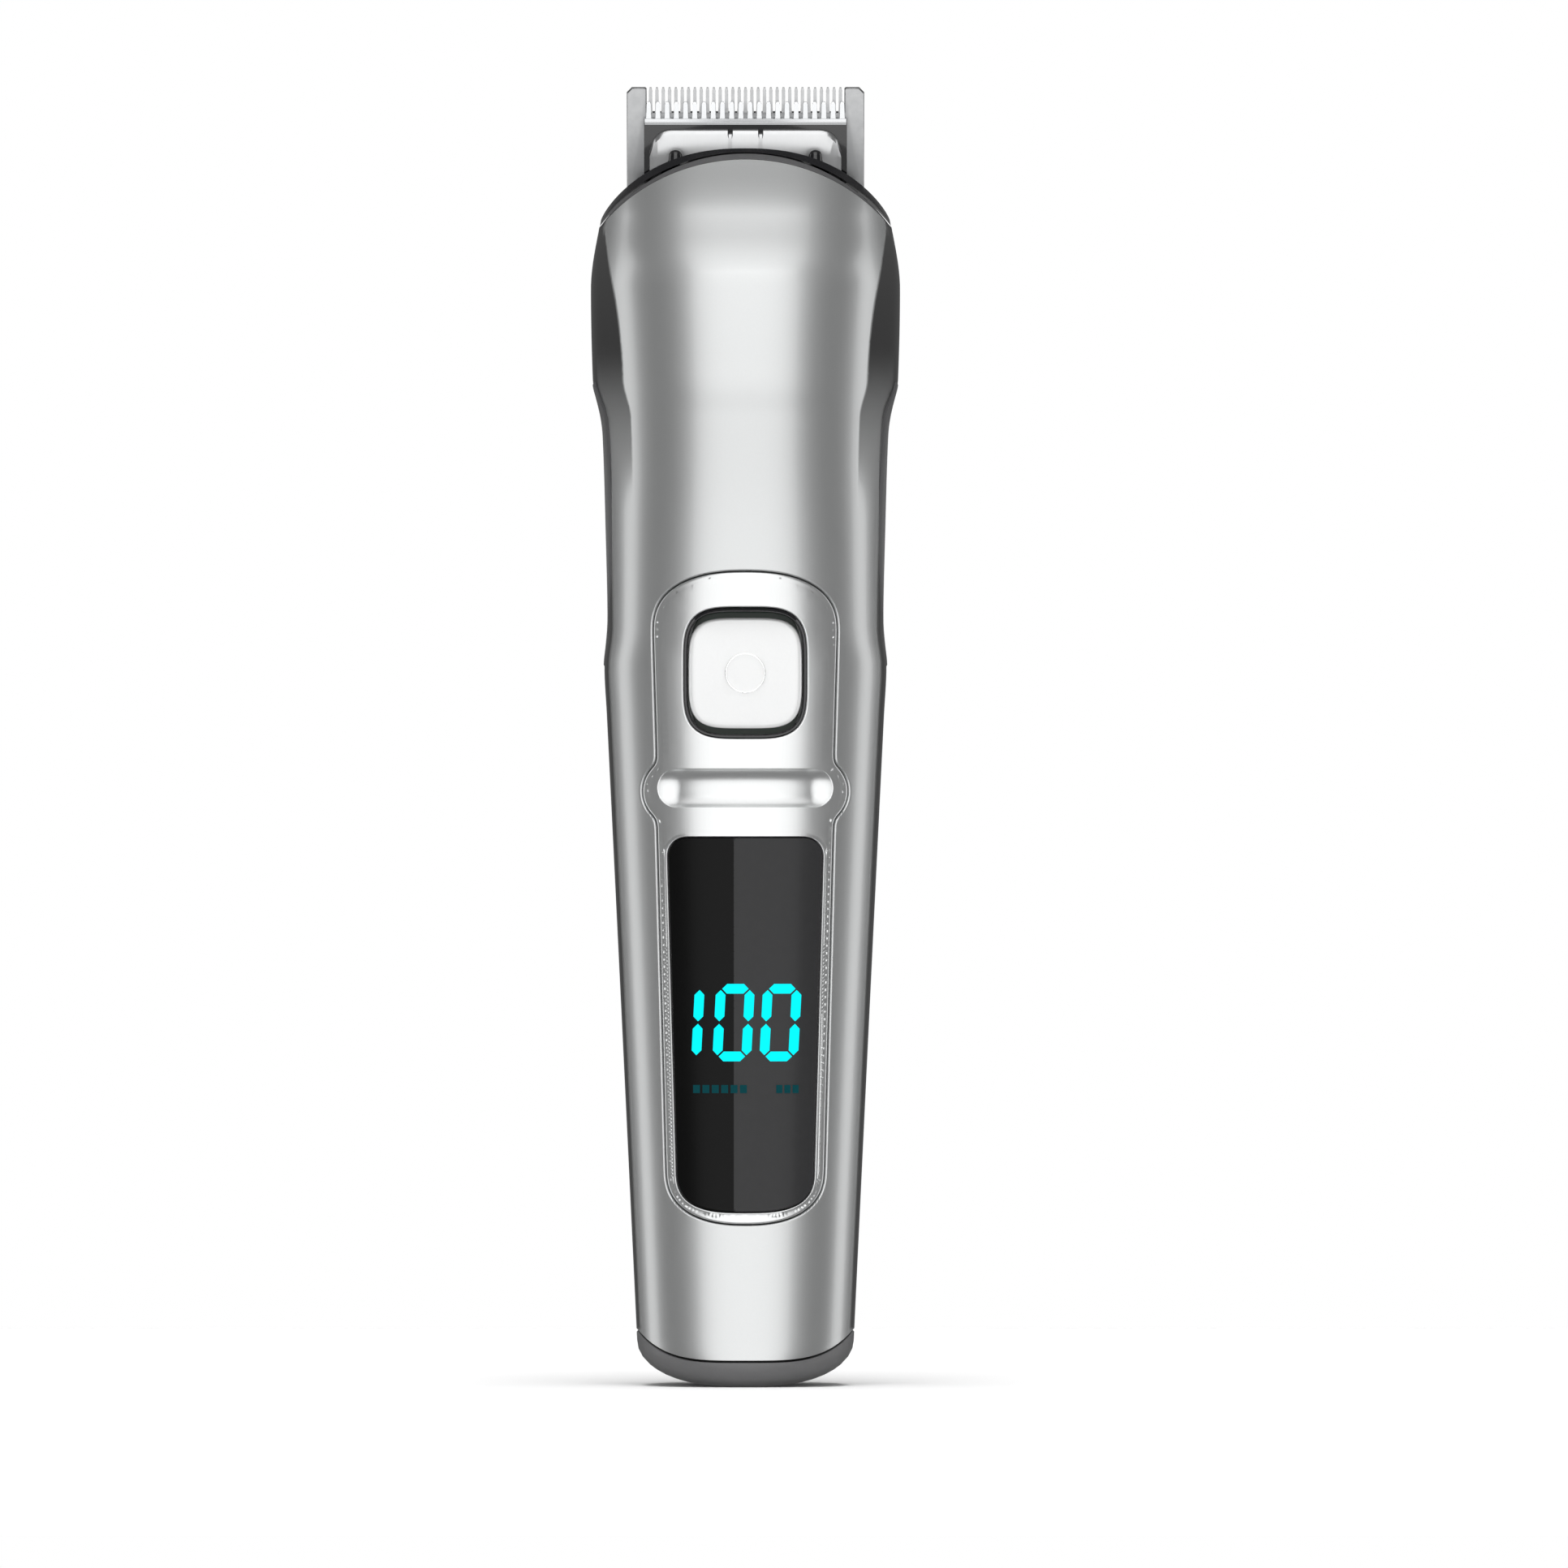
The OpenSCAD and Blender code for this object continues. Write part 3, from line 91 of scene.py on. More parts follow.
class TrimmerBody(bpy.types.PropertyGroup):
    """Sizes of the two casing halves"""

    hip_w: FloatProperty(name="Hip width", description="Width where the lower taper ends", default=34.76)
    waist_w: FloatProperty(name="Waist width", description="Width at the grips' narrow end", default=33.74)
    shoulder_w: FloatProperty(name="Shoulder width", description="Width at the grips' wide end", default=35.2)
    base_w: FloatProperty(name="Base width", description="Width just above the end cap", default=26.6)
    base_front: FloatProperty(name="Base front", description="Front depth at the end cap", default=12.0)
    panel_front: FloatProperty(name="Panel front", description="Front depth behind the button", default=14.2)
    base_back: FloatProperty(name="Base back", description="Back depth at the end cap", default=12.6)
    head_back: FloatProperty(name="Head back", description="Back depth at the head", default=14.2)
    hip_h: FloatProperty(name="Hip height", description="Height where the lower taper ends", default=88.5)
    seam_mid: FloatProperty(name="Seam, middle", description="End cap seam at the middle", default=3.0)
    seam_side: FloatProperty(name="Seam, sides", description="End cap seam at the sides", default=6.65)
    foot_round: FloatProperty(name="Foot rounding", description="Height of the foot's rounding", default=5.5)
    wall: FloatProperty(name="Wall", description="Wall of the casing halves", default=2.0)
    lacquer: FloatVectorProperty(
        name="Lacquer", description="Silver of the front", subtype="COLOR", size=3, default=(0.62, 0.63, 0.63)
    )


class TrimmerPanel(bpy.types.PropertyGroup):
    """Sizes of the control panel, its button and its display"""

    bottom: FloatProperty(name="Bottom", description="Height of the panel's lower end", default=20.0)
    top: FloatProperty(name="Top", description="Height of the panel's upper end", default=99.95)
    top_w: FloatProperty(name="Top width", description="Panel width at the button", default=22.66)
    bottom_w: FloatProperty(name="Lower width", description="Panel width at its lower end", default=19.5)
    scoop_z: FloatProperty(name="Scoop height", description="Height of the finger scoop", default=73.5)
    scoop_len: FloatProperty(name="Scoop length", description="Length of the finger scoop", default=21.6)
    scoop_h: FloatProperty(name="Scoop opening", description="Opening of the finger scoop", default=4.8)
    scoop_depth: FloatProperty(name="Scoop depth", description="Depth of the finger scoop", default=1.1)
    button_z: FloatProperty(name="Button height", description="Height of the button's middle", default=87.6)
    button_w: FloatProperty(name="Button width", description="Width of the button", default=13.9)
    button_h: FloatProperty(name="Button length", description="Button size along the body", default=13.6)
    window_top: FloatProperty(name="Window top", description="Height of the window's top", default=67.4)
    window_bottom: FloatProperty(name="Window bottom", description="Height of its lower end", default=21.5)
    window_top_w: FloatProperty(name="Window top width", description="Window width at its top", default=19.0)
    window_bottom_w: FloatProperty(name="Window lower width", description="Width low down", default=16.9)
    digit_h: FloatProperty(name="Digit height", description="Height of the digits", default=9.5)
    digit_w: FloatProperty(name="Digit width", description="Width of a digit", default=4.75)
    digit_z: FloatProperty(name="Digit place", description="Height of the digits' middle", default=44.75)
    glow: FloatVectorProperty(
        name="Glow", description="Colour of the digits", subtype="COLOR", size=3, default=(0.0, 0.85, 0.92)
    )


class TrimmerBlades(bpy.types.PropertyGroup):
    """Sizes of the blade set"""

    fixed_teeth: IntProperty(name="Fixed teeth", description="Teeth of the fixed blade", default=31)
    moving_teeth: IntProperty(name="Moving teeth", description="Teeth of the moving blade", default=22)
    lean: FloatProperty(name="Lean", description="Forward lean of the blades, degrees", default=10.0)
    setback: FloatProperty(name="Setback", description="Moving tips behind the fixed tips", default=1.6)


def body_sizes():
    return bpy.context.scene.trimmer_body


def panel_sizes():
    return bpy.context.scene.trimmer_panel


def blade_sizes():
    return bpy.context.scene.trimmer_blades


# -------------------------------------------------------------------------------- body surface

FRONT_POWER, BACK_POWER = 2.5, 2.3
CREASE_LOW, CREASE_HIGH, CREASE_POWER = 0.797, 0.98, 2.2
FACET_END = 3.0
FOOT_W, FOOT_D, FOOT_D_ROUND = 3.4, 9.0, 3.0
SWELL = 0.25         # how far the body still widens above the grips
CALM_POWER = 1.15    # bend of the calm front between the grips and the head
FACET_POWER, FACET_ROUND = 12, 0.4   # how sharply a side facet rounds off into the seam
FACET_RUN = 13.0     # height above the waist at which the facets start
EDGE_SHARE = 0.998   # an outline point this close to the half width lies on the seam


def smooth(t):
    t = np.clip(t, 0, 1)
    return t * t * (3 - 2 * t)


def oval(x, half, depth, power):
    """Depth of a superellipse at a distance x from the middle."""
    return depth * np.maximum(0, 1 - np.minimum(1, np.abs(x) / half) ** power) ** (1 / power)


class Profile:
    """The body's half width and depths at any height, and the surface that they span."""

    def __init__(self, s):
        self.s = s
        mid, hip, waist = s.hip_h / 2 + 2, s.hip_h, s.hip_h + 4.5
        low, high, wide = TOP - 41, TOP - 36.5, TOP - 25
        share = (mid - s.foot_round) / (hip - s.foot_round)
        self.waist, self.high, self.corner, self.nose = waist, high, TOP - 16.6, TOP - 8
        half = HEAD_W / 2
        self.knots = np.array([
            [s.foot_round, s.base_w / 2 + 0.05, s.base_front, s.base_back],
            [mid, (s.base_w + (s.hip_w - s.base_w) * share) / 2,
             s.base_front + 0.4 * (s.panel_front - s.base_front), s.base_back + 0.6 * (BACK - s.base_back)],
            [hip - 6, s.hip_w / 2 - 0.3, s.panel_front - 0.3, BACK],
            [hip, s.hip_w / 2, s.panel_front, BACK],
            [waist, s.waist_w / 2, s.panel_front + 0.6, BACK - 0.2],
            [(waist + low) / 2, (s.waist_w + s.shoulder_w) / 4 - 0.1,
             (s.panel_front + FRONT) / 2 - 1, BACK - 1.9],
            [low, s.shoulder_w / 2, FRONT - 1.9, (BACK + s.head_back) / 2 - 1],
            [high, half - SWELL, FRONT - 0.9, s.head_back + 1.4],
            [wide, half, FRONT, s.head_back - 0.8],
            [self.corner, half - 1.2, FRONT - 4.2, s.head_back - 2.2],
            [self.nose, half - 3.4, FRONT - 11, s.head_back - 4.4],
        ])
        rise = np.diff(self.knots[:, 1:], axis=0) / np.diff(self.knots[:, :1], axis=0)
        a, b = rise[:-1], rise[1:]
        mean = np.where(a * b > 0, 2 * a * b / np.where(a + b == 0, 1, a + b), 0)
        self.slopes = np.vstack([rise[:1], mean, rise[-1:]])
        self.calm_from, self.calm_to = (waist + low) / 2, wide

    def curve(self, z, column):
        """Smooth curve through one column of the knots, with no overshoot."""
        k, col = self.knots, column + 1
        i = np.clip(np.searchsorted(k[:, 0], z, side="right") - 1, 0, len(k) - 2)
        step = k[i + 1, 0] - k[i, 0]
        t = np.clip((z - k[i, 0]) / step, 0, 1)
        return (
            (2 * t**3 - 3 * t**2 + 1) * k[i, col] + (t**3 - 2 * t**2 + t) * step * self.slopes[i, column]
            + (3 * t**2 - 2 * t**3) * k[i + 1, col] + (t**3 - t**2) * step * self.slopes[i + 1, column]
        )

    def rounded(self, z, height, flat, column):
        full = self.curve(np.maximum(z, self.s.foot_round), column)
        arc = np.sqrt(np.maximum(0, 1 - (np.clip(height - np.maximum(z, 0), 0, height) / height) ** 2))
        return np.where(z >= height, full, flat + (full - flat) * arc)

    def half(self, z):
        return self.rounded(z, self.s.foot_round, FOOT_W, 0)

    def front(self, z):
        return self.rounded(z, FOOT_D_ROUND, FOOT_D, 1)

    def back(self, z):
        return self.rounded(z, FOOT_D_ROUND, FOOT_D, 2)

    def calm_half(self, z, half):
        """Half width without the step at the shoulders, for the middle of the front."""
        start, end = self.curve(self.calm_from, 0), self.curve(self.calm_to, 0)
        share = np.clip((z - self.calm_from) / (self.calm_to - self.calm_from), 0, 1)
        between = (z > self.calm_from) & (z < self.calm_to)
        return np.where(between, start + (end - start) * share**CALM_POWER, half)

    def crease(self, z):
        """Share of the half width at which the front face breaks into the side facet."""
        t = np.clip((z - self.high) / (self.corner - self.high), 0, 1)
        return CREASE_LOW + (CREASE_HIGH - CREASE_LOW) * t**CREASE_POWER

    def point(self, side, turn, z, inset):
        """Points of the surface; turn runs from -90 degrees at -x to 90 at +x, round either side."""
        power = FRONT_POWER if side == "front" else BACK_POWER
        angle = np.radians(turn)
        half = self.half(z) - inset
        depth = (self.front(z) if side == "front" else self.back(z)) - inset
        x = half * np.sign(angle) * np.abs(np.sin(angle)) ** (2 / power)
        y = depth * np.abs(np.cos(angle)) ** (2 / power)
        if side == "front":
            crease = self.crease(z) * half
            calm = oval(x, self.calm_half(z, half), depth, power)
            start = oval(crease, self.calm_half(z, half), depth, power)
            share = np.clip((np.abs(x) - crease) / (half - crease), 0, 1)
            facet = (start + (FACET_END - start) * share) * (1 - share**FACET_POWER) ** FACET_ROUND
            strength = smooth((z - self.waist - FACET_RUN) / (self.high - self.waist - FACET_RUN))
            y = -(y + strength * (np.where(np.abs(x) > crease, facet, calm) - y))
        return np.stack([x, y, z + 0 * x], axis=-1)

    def turn(self, side, x, z):
        """The turn at which the outer surface has a given x."""
        power = FRONT_POWER if side == "front" else BACK_POWER
        share = np.clip(np.abs(x) / self.half(z), 0, 1)
        share = np.where(share > EDGE_SHARE, 1, share)
        return np.sign(x) * np.degrees(np.arcsin(share ** (power / 2)))

    def front_y(self, x, z, inset=0.0):
        z = np.asarray(z, float)
        return -oval(x, self.half(z) - inset, self.front(z) - inset, FRONT_POWER)


# -------------------------------------------------------------------------------- outlines, in x and z


def ellipse_end(half, rise, z, power, up):
    """A superellipse end from +half to -half, that bulges up or down from a height."""
    a = np.linspace(0, math.pi, 37)
    c, s = np.cos(a), np.abs(np.sin(a))
    return np.stack([np.sign(c) * half * np.abs(c) ** (2 / power), z + up * rise * s ** (2 / power)], axis=-1)


def resample(loop, step):
    """The same closed outline with points an even distance apart."""
    loop = np.asarray(loop)
    closed = np.vstack([loop, loop[:1]])
    lengths = np.r_[0, np.cumsum(np.linalg.norm(np.diff(closed, axis=0), axis=1))]
    count = max(8, int(round(lengths[-1] / step)))
    at = np.linspace(0, lengths[-1], count, endpoint=False)
    return np.stack([np.interp(at, lengths, closed[:, i]) for i in (0, 1)], axis=-1)


def anticlockwise(loop):
    x, z = loop[:, 0], loop[:, 1]
    area = np.sum(x * np.roll(z, -1) - np.roll(x, -1) * z)
    return loop if area > 0 else loop[::-1]


def offset(loop, distance):
    """A closed outline moved outwards by a distance, without remaking its corners."""
    loop = anticlockwise(loop)
    ahead, behind = np.roll(loop, -1, axis=0) - loop, loop - np.roll(loop, 1, axis=0)
    along = sum(way / np.linalg.norm(way, axis=1, keepdims=True) for way in (ahead, behind))
    along /= np.linalg.norm(along, axis=1, keepdims=True)
    return loop + distance * np.stack([along[:, 1], -along[:, 0]], axis=-1)


def relax(loop, passes):
    """Rounds the corners of an evenly spaced outline."""
    for _ in range(passes):
        loop = (np.roll(loop, 1, axis=0) + 2 * loop + np.roll(loop, -1, axis=0)) / 4
    return loop


PANEL_TOP_RISE, PANEL_BOTTOM_RISE, PANEL_POWER = 6.95, 6.5, 2.4
EAR_REACH, EAR_R = 1.85, 4.06
OUTLINE_STEP = 0.35    # distance between the points of the panel's outlines
BUTTON_CORNER = 4.4    # corner radius of the button


def panel_outline(p):
    """Tall rounded outline with a bump on each side, at the ends of the finger scoop."""
    low, high = p.bottom + PANEL_BOTTOM_RISE, p.top - PANEL_TOP_RISE
    ear_z = p.scoop_z - 0.4
    side = (p.bottom_w + (p.top_w - p.bottom_w) * (ear_z - low) / (high - low)) / 2
    ear_x = side + EAR_REACH - EAR_R
    spread = math.degrees(math.acos((side - ear_x) / EAR_R))
    turns = np.radians(np.linspace(-spread, spread, 24))
    ear = np.stack([ear_x + EAR_R * np.cos(turns), ear_z + EAR_R * np.sin(turns)], axis=-1)
    top = ellipse_end(p.top_w / 2, PANEL_TOP_RISE, high, PANEL_POWER, 1)
    bottom = ellipse_end(p.bottom_w / 2, PANEL_BOTTOM_RISE, low, PANEL_POWER, -1)
    left = ear[::-1] * [-1, 1]
    return relax(resample(np.vstack([ear, top, left, bottom[::-1]]), OUTLINE_STEP), 6)


def window_outline(p):
    corner, rise, power = 2.2, 5.5, 3.0
    turns = np.radians(np.linspace(0, 90, 12))
    half = p.window_top_w / 2
    right = np.c_[half - corner * (1 - np.cos(turns)), p.window_top - corner * (1 - np.sin(turns))]
    left = right[::-1] * [-1, 1]
    low = ellipse_end(p.window_bottom_w / 2, rise, p.window_bottom + rise, power, -1)
    return resample(np.vstack([right, left, low[::-1]]), OUTLINE_STEP)


def squircle(width, height):
    """Rounded square about its own middle, anticlockwise from +x."""
    a = np.linspace(0, 2 * math.pi, 160, endpoint=False)
    power = 3.35 + 1.9 * (1 - BUTTON_CORNER / (width / 2))
    c, s = np.cos(a), np.sin(a)
    return np.c_[width / 2 * np.sign(c) * np.abs(c) ** (2 / power),
                 height / 2 * np.sign(s) * np.abs(s) ** (2 / power)]


def circle(x, z, r):
    a = np.linspace(0, 2 * math.pi, 40, endpoint=False)
    return np.stack([x + r * np.cos(a), z + r * np.sin(a)], axis=-1)


# -------------------------------------------------------------------------------- mesh tools


def inside(points, loop):
    """Which points lie inside a closed outline."""
    x, z = points[:, 0][:, None], points[:, 1][:, None]
    ax, az = loop[:, 0][None], loop[:, 1][None]
    bx, bz = np.roll(loop[:, 0], -1)[None], np.roll(loop[:, 1], -1)[None]
    spans = (az > z) != (bz > z)
    with np.errstate(divide="ignore", invalid="ignore"):
        at = ax + (z - az) * (bx - ax) / (bz - az)
    return (np.sum(spans & (x < at), axis=1) % 2) == 1


def distance_to(points, loop):
    """Distance from each point to a closed outline."""
    a, b = loop, np.roll(loop, -1, axis=0)
    best = np.full(len(points), 1e9)
    for start, end in zip(a, b):
        along = end - start
        t = np.clip(((points - start) @ along) / max(along @ along, 1e-12), 0, 1)
        best = np.minimum(best, np.linalg.norm(points - start - t[:, None] * along, axis=1))
    return best


SHARP_ANGLE = math.radians(38)


def new_object(name, vertices, faces, material, masks=None):
    """A mesh object from points in millimetres; masks are named values, one per point."""
    mesh = bpy.data.meshes.new(name)
    mesh.from_pydata((np.asarray(vertices) * MM).tolist(), [], [list(map(int, f)) for f in faces])
    mesh.validate()
    for polygon in mesh.polygons:
        polygon.use_smooth = True
    mesh.set_sharp_from_angle(angle=SHARP_ANGLE)
    for key, values in (masks or {}).items():
        layer = mesh.attributes.new(key, "FLOAT", "POINT")
        layer.data.foreach_set("value", np.asarray(values, np.float32))
    mesh.materials.append(material)
    obj = bpy.data.objects.new(name, mesh)
    bpy.context.scene.collection.objects.link(obj)
    return obj


def fillet_drop(distance, radius):
    """How far a rounded edge falls at a distance in from it."""
    inward = np.clip(distance, 0, radius)
    return radius - np.sqrt(np.maximum(0, radius**2 - (radius - inward) ** 2))


RINGS = (0.12, 0.3, 0.55, 1.0)   # rings of points along a rounded edge, as shares of its radius


def loop_edges(start, count):
    """Edges of a closed loop of points."""
    return [(start + i, start + (i + 1) % count) for i in range(count)]


def triangulate(points, edges, outer, holes):
    """Triangles of a flat region with holes, through all its points."""
    result = delaunay_2d_cdt([Vector(p) for p in points], edges, [], 0, 1e-6)
    flat = np.array([list(p) for p in result[0]])
    triangles = np.array([f for f in result[2] if len(f) == 3])
    middles = flat[triangles].mean(axis=1)
    keep = inside(middles, outer)
    for hole in holes:
        keep &= ~inside(middles, hole)
    return flat, triangles[keep]


def plate_faces(triangles, count):
    """Faces of a plate: its face, its back count points further on, and a wall along every free edge."""
    pairs = dict.fromkeys((t[i], t[(i + 1) % 3]) for t in triangles for i in range(3))
    faces = [tuple(t) for t in triangles] + [tuple(i + count for i in t[::-1]) for t in triangles]
    return faces + [(b, a, a + count, b + count) for a, b in pairs if (b, a) not in pairs]


def grid_points(outer, loops, spacing, extra):
    """An even grid and extra points inside an outline, clear of the rounded edge of every (loop, radius)."""
    low, high = outer.min(0), outer.max(0)
    grid_x, grid_z = np.meshgrid(
        np.arange(low[0], high[0], spacing[0]), np.arange(low[1], high[1], spacing[1]), indexing="ij"
    )
    grid = np.vstack([np.c_[grid_x.ravel(), grid_z.ravel()], extra])
    keep = inside(grid, outer)
    for loop, radius in loops:
        keep &= distance_to(grid, loop) >= max(radius * 1.15, spacing[0] * 0.45)
    for loop, _ in loops[1:]:
        keep &= ~inside(grid, loop)
    return grid[keep]


def skin_piece(name, body, side, outer, holes, material, inset, depth, fillet, spacing, relief=None,
               hole_fillets=None, extra=None, masks=None):
    """A solid plate that follows the body's surface, cut to outlines in x and z, with rounded edges.

    inset is how deep its face lies, depth how deep its back lies. relief(x, z) lowers the face further.
    """
    loops = [(anticlockwise(outer), fillet, -1)]
    for i, hole in enumerate(holes):
        loops.append((anticlockwise(hole), (hole_fillets or {}).get(i, fillet), 1))
    reach = body.half(np.array([outer[:, 1].mean()]))[0] * 1.45

    def flatten(points):
        return np.c_[body.turn(side, points[:, 0], points[:, 1]) / 90 * reach, points[:, 1]]

    def face_at(turn, z):
        own = body.point(side, turn, z, inset)
        return own if relief is None else body.point(side, turn, z, inset + relief(own[:, 0], z))

    points, edges = [], []
    for loop, radius, sign in loops:
        edges += loop_edges(len(points), len(loop))
        points += list(flatten(loop))
        for share in RINGS if radius > 0 else ():
            points += list(flatten(offset(loop, sign * radius * share)))
    flat_loops = [(flatten(loop), radius) for loop, radius, _ in loops]
    own_extra = np.zeros((0, 2)) if extra is None else flatten(extra)
    points += list(grid_points(flat_loops[0][0], flat_loops, spacing, own_extra))
    flat, triangles = triangulate(points, edges, flat_loops[0][0], [loop for loop, _ in flat_loops[1:]])

    turn, z = flat[:, 0] / reach * 90, flat[:, 1]
    x = body.point(side, turn, z, 0.0)[:, 0]
    drop = np.zeros(len(flat))
    for loop, radius, _ in loops:
        if radius > 0:
            drop = np.maximum(drop, fillet_drop(distance_to(np.c_[x, z], loop), radius))
    step_turn, step_z = 0.15, 0.03
    across = face_at(turn + step_turn, z) - face_at(turn - step_turn, z)
    up = face_at(turn, z + step_z) - face_at(turn, z - step_z)
    normal = np.cross(across, up) * (1 if side == "front" else -1)
    normal /= np.maximum(1e-9, np.linalg.norm(normal, axis=1, keepdims=True))
    front_points = face_at(turn, z) - normal * drop[:, None]
    back_points = body.point(side, turn, z, depth)

    first = flat[triangles[0]]
    if (np.cross(first[1] - first[0], first[2] - first[0]) > 0) != (side == "front"):
        triangles = triangles[:, ::-1]
    own_masks = {key: np.tile(mask(x, z), 2) for key, mask in (masks or {}).items()}
    faces = plate_faces(triangles, len(flat))
    obj = new_object(name, np.vstack([front_points, back_points]), faces, material, masks=own_masks)
    smooth_face_normals(obj, normal, drop)
    return obj


def smooth_face_normals(obj, normal, drop):
    """Gives the flat part of a plate's face the surface's true normals; the mesh keeps its own elsewhere."""
    mesh, count = obj.data, len(normal)
    corners = np.zeros(len(mesh.loops) * 3, np.float32)
    mesh.corner_normals.foreach_get("vector", corners)
    corners = corners.reshape(-1, 3).astype(float)
    index = np.zeros(len(mesh.loops), np.int32)
    mesh.loops.foreach_get("vertex_index", index)
    face_of_corner = np.repeat(np.arange(len(mesh.polygons)), [p.loop_total for p in mesh.polygons])
    on_face = np.array([all(v < count for v in p.vertices) for p in mesh.polygons])[face_of_corner]
    plain = on_face & (np.tile(drop, 2)[index] < 1e-4)
    corners[plain] = normal[index[plain]]
    mesh.normals_split_custom_set(corners.tolist())


def loft_rows(rows, close_low=False, close_high=False):
    """Faces between rows of points; each row runs anticlockwise seen from above."""
    count, faces = len(rows[0]), []
    for k in range(len(rows) - 1):
        for i in range(count):
            j = (i + 1) % count
            faces.append((k * count + i, k * count + j, (k + 1) * count + j, (k + 1) * count + i))
    if close_low:
        faces.append(tuple(range(count - 1, -1, -1)))
    if close_high:
        faces.append(tuple((len(rows) - 1) * count + i for i in range(count)))
    return np.vstack(rows), faces


def ring_sweep(rows):
    """Points and faces of a closed ring of rows, the last joined to the first."""
    points, faces = loft_rows(rows + [rows[0]])
    total = len(rows[0]) * len(rows)
    return points[:total], [tuple(i % total for i in f) for f in faces]


def orient(obj):
    """Turns every face of a closed mesh outwards."""
    work = bmesh.new()
    work.from_mesh(obj.data)
    bmesh.ops.recalc_face_normals(work, faces=work.faces)
    work.to_mesh(obj.data)
    work.free()
    obj.data.update()


def prism(outline, low, high, place):
    """A closed prism with a thin bevel round both ends; place turns (u, v, w) into millimetres."""
    bevel = min(0.12, (high - low) / 4)
    rows = []
    for w, shrink in ((low, bevel), (low + bevel, 0), (high - bevel, 0), (high, bevel)):
        ring = offset(outline, -shrink) if shrink else anticlockwise(outline)
        rows.append(np.c_[ring, np.full(len(ring), w)])
    points, faces = loft_rows(rows, True, True)
    return place(points), faces


def join(parts):
    """One list of points and faces from several."""
    points, faces, start = [], [], 0
    for own_points, own_faces in parts:
        points.append(own_points)
        faces += [tuple(i + start for i in f) for f in own_faces]
        start += len(own_points)
    return np.vstack(points), faces


def finish_piece(obj, body, slot, *nodes):
    """Rides the piece on its body and hides the frame nodes that it stands for; slot is not used."""
    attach(obj, body)
    if nodes:
        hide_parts(*nodes)
    return obj


# -------------------------------------------------------------------------------- materials


def add_group(name, inputs, outputs, build):
    """A shader node group with named inputs and outputs; build wires it."""
    group = bpy.data.node_groups.new(name, "ShaderNodeTree")
    for label, kind, value in inputs:
        item = group.interface.new_socket(label, in_out="INPUT", socket_type=f"NodeSocket{kind}")
        if value is not None:
            item.default_value = value
    for label, kind in outputs:
        group.interface.new_socket(label, in_out="OUTPUT", socket_type=f"NodeSocket{kind}")
    build(group, group.nodes.new("NodeGroupInput").outputs, group.nodes.new("NodeGroupOutput").inputs)
    return group


def feed(tree, socket, value):
    """Links an input to another node's output, or sets its value."""
    if isinstance(value, bpy.types.NodeSocket):
        tree.links.new(value, socket)
    else:
        socket.default_value = value


def node(tree, kind, links=None, **settings):
    """A node with its settings made and its inputs linked or set."""
    made = tree.nodes.new(f"ShaderNode{kind}")
    for key, value in settings.items():
        setattr(made, key, value)
    for key, value in (links or {}).items():
        feed(tree, made.inputs[key], value)
    return made


def math_node(tree, operation, a, b=0.0, clamp=False):
    return node(tree, "Math", {0: a, 1: b}, operation=operation, use_clamp=clamp).outputs[0]


def mix_colour(tree, factor, a, b):
    made = node(tree, "Mix", {0: factor, 6: a, 7: b}, data_type="RGBA")
    return made.outputs[2]


def build_grain(tree, source, result):
    """Fine speckle that moves a colour and a roughness about their own values, with height for a bump."""
    place = node(tree, "TexCoord").outputs["Object"]
    noise = node(tree, "TexNoise", {"Vector": place, "Scale": source["Scale"], "Detail": 4.0}).outputs["Fac"]
    lift = math_node(tree, "MULTIPLY", math_node(tree, "SUBTRACT", noise, 0.5), source["Amount"])
    value = math_node(tree, "ADD", lift, 1.0)
    shade = node(tree, "HueSaturation", {"Value": value, "Color": source["Colour"]})
    tree.links.new(shade.outputs[0], result["Colour"])
    rough = math_node(tree, "ADD", source["Roughness"], math_node(tree, "MULTIPLY", lift, 0.5), clamp=True)
    tree.links.new(rough, result["Roughness"])
    tree.links.new(noise, result["Height"])


def build_brushed(tree, source, result):
    """Long fine lines along one axis, for brushed and ground metal."""
    place = node(tree, "TexCoord").outputs["Object"]
    stretched = node(tree, "Mapping", {"Vector": place, "Scale": source["Stretch"]}).outputs[0]
    noise = node(tree, "TexNoise", {"Vector": stretched, "Scale": 1.0, "Detail": 3.0}).outputs["Fac"]
    lift = math_node(tree, "MULTIPLY", math_node(tree, "SUBTRACT", noise, 0.5), source["Amount"])
    value = math_node(tree, "ADD", lift, 1.0)
    shade = node(tree, "HueSaturation", {"Value": value, "Color": source["Colour"]})
    tree.links.new(shade.outputs[0], result["Colour"])
    rough = math_node(tree, "ADD", source["Roughness"], lift, clamp=True)
    tree.links.new(rough, result["Roughness"])
    tree.links.new(noise, result["Height"])


def build_wear(tree, source, result):
    """Brightens convex edges a little, broken up by noise."""
    bent = node(tree, "NewGeometry").outputs["Pointiness"]
    edge = node(tree, "MapRange", {0: bent, 1: 0.52, 2: 0.6, 3: 0.0, 4: 1.0}).outputs[0]
    place = node(tree, "TexCoord").outputs["Object"]
    noise = node(tree, "TexNoise", {"Vector": place, "Scale": 900.0}).outputs["Fac"]
    broken = math_node(tree, "MULTIPLY", edge, noise)
    share = math_node(tree, "MULTIPLY", broken, source["Amount"], clamp=True)
    tree.links.new(mix_colour(tree, share, source["Colour"], source["Worn"]), result["Colour"])
    tree.links.new(share, result["Mask"])


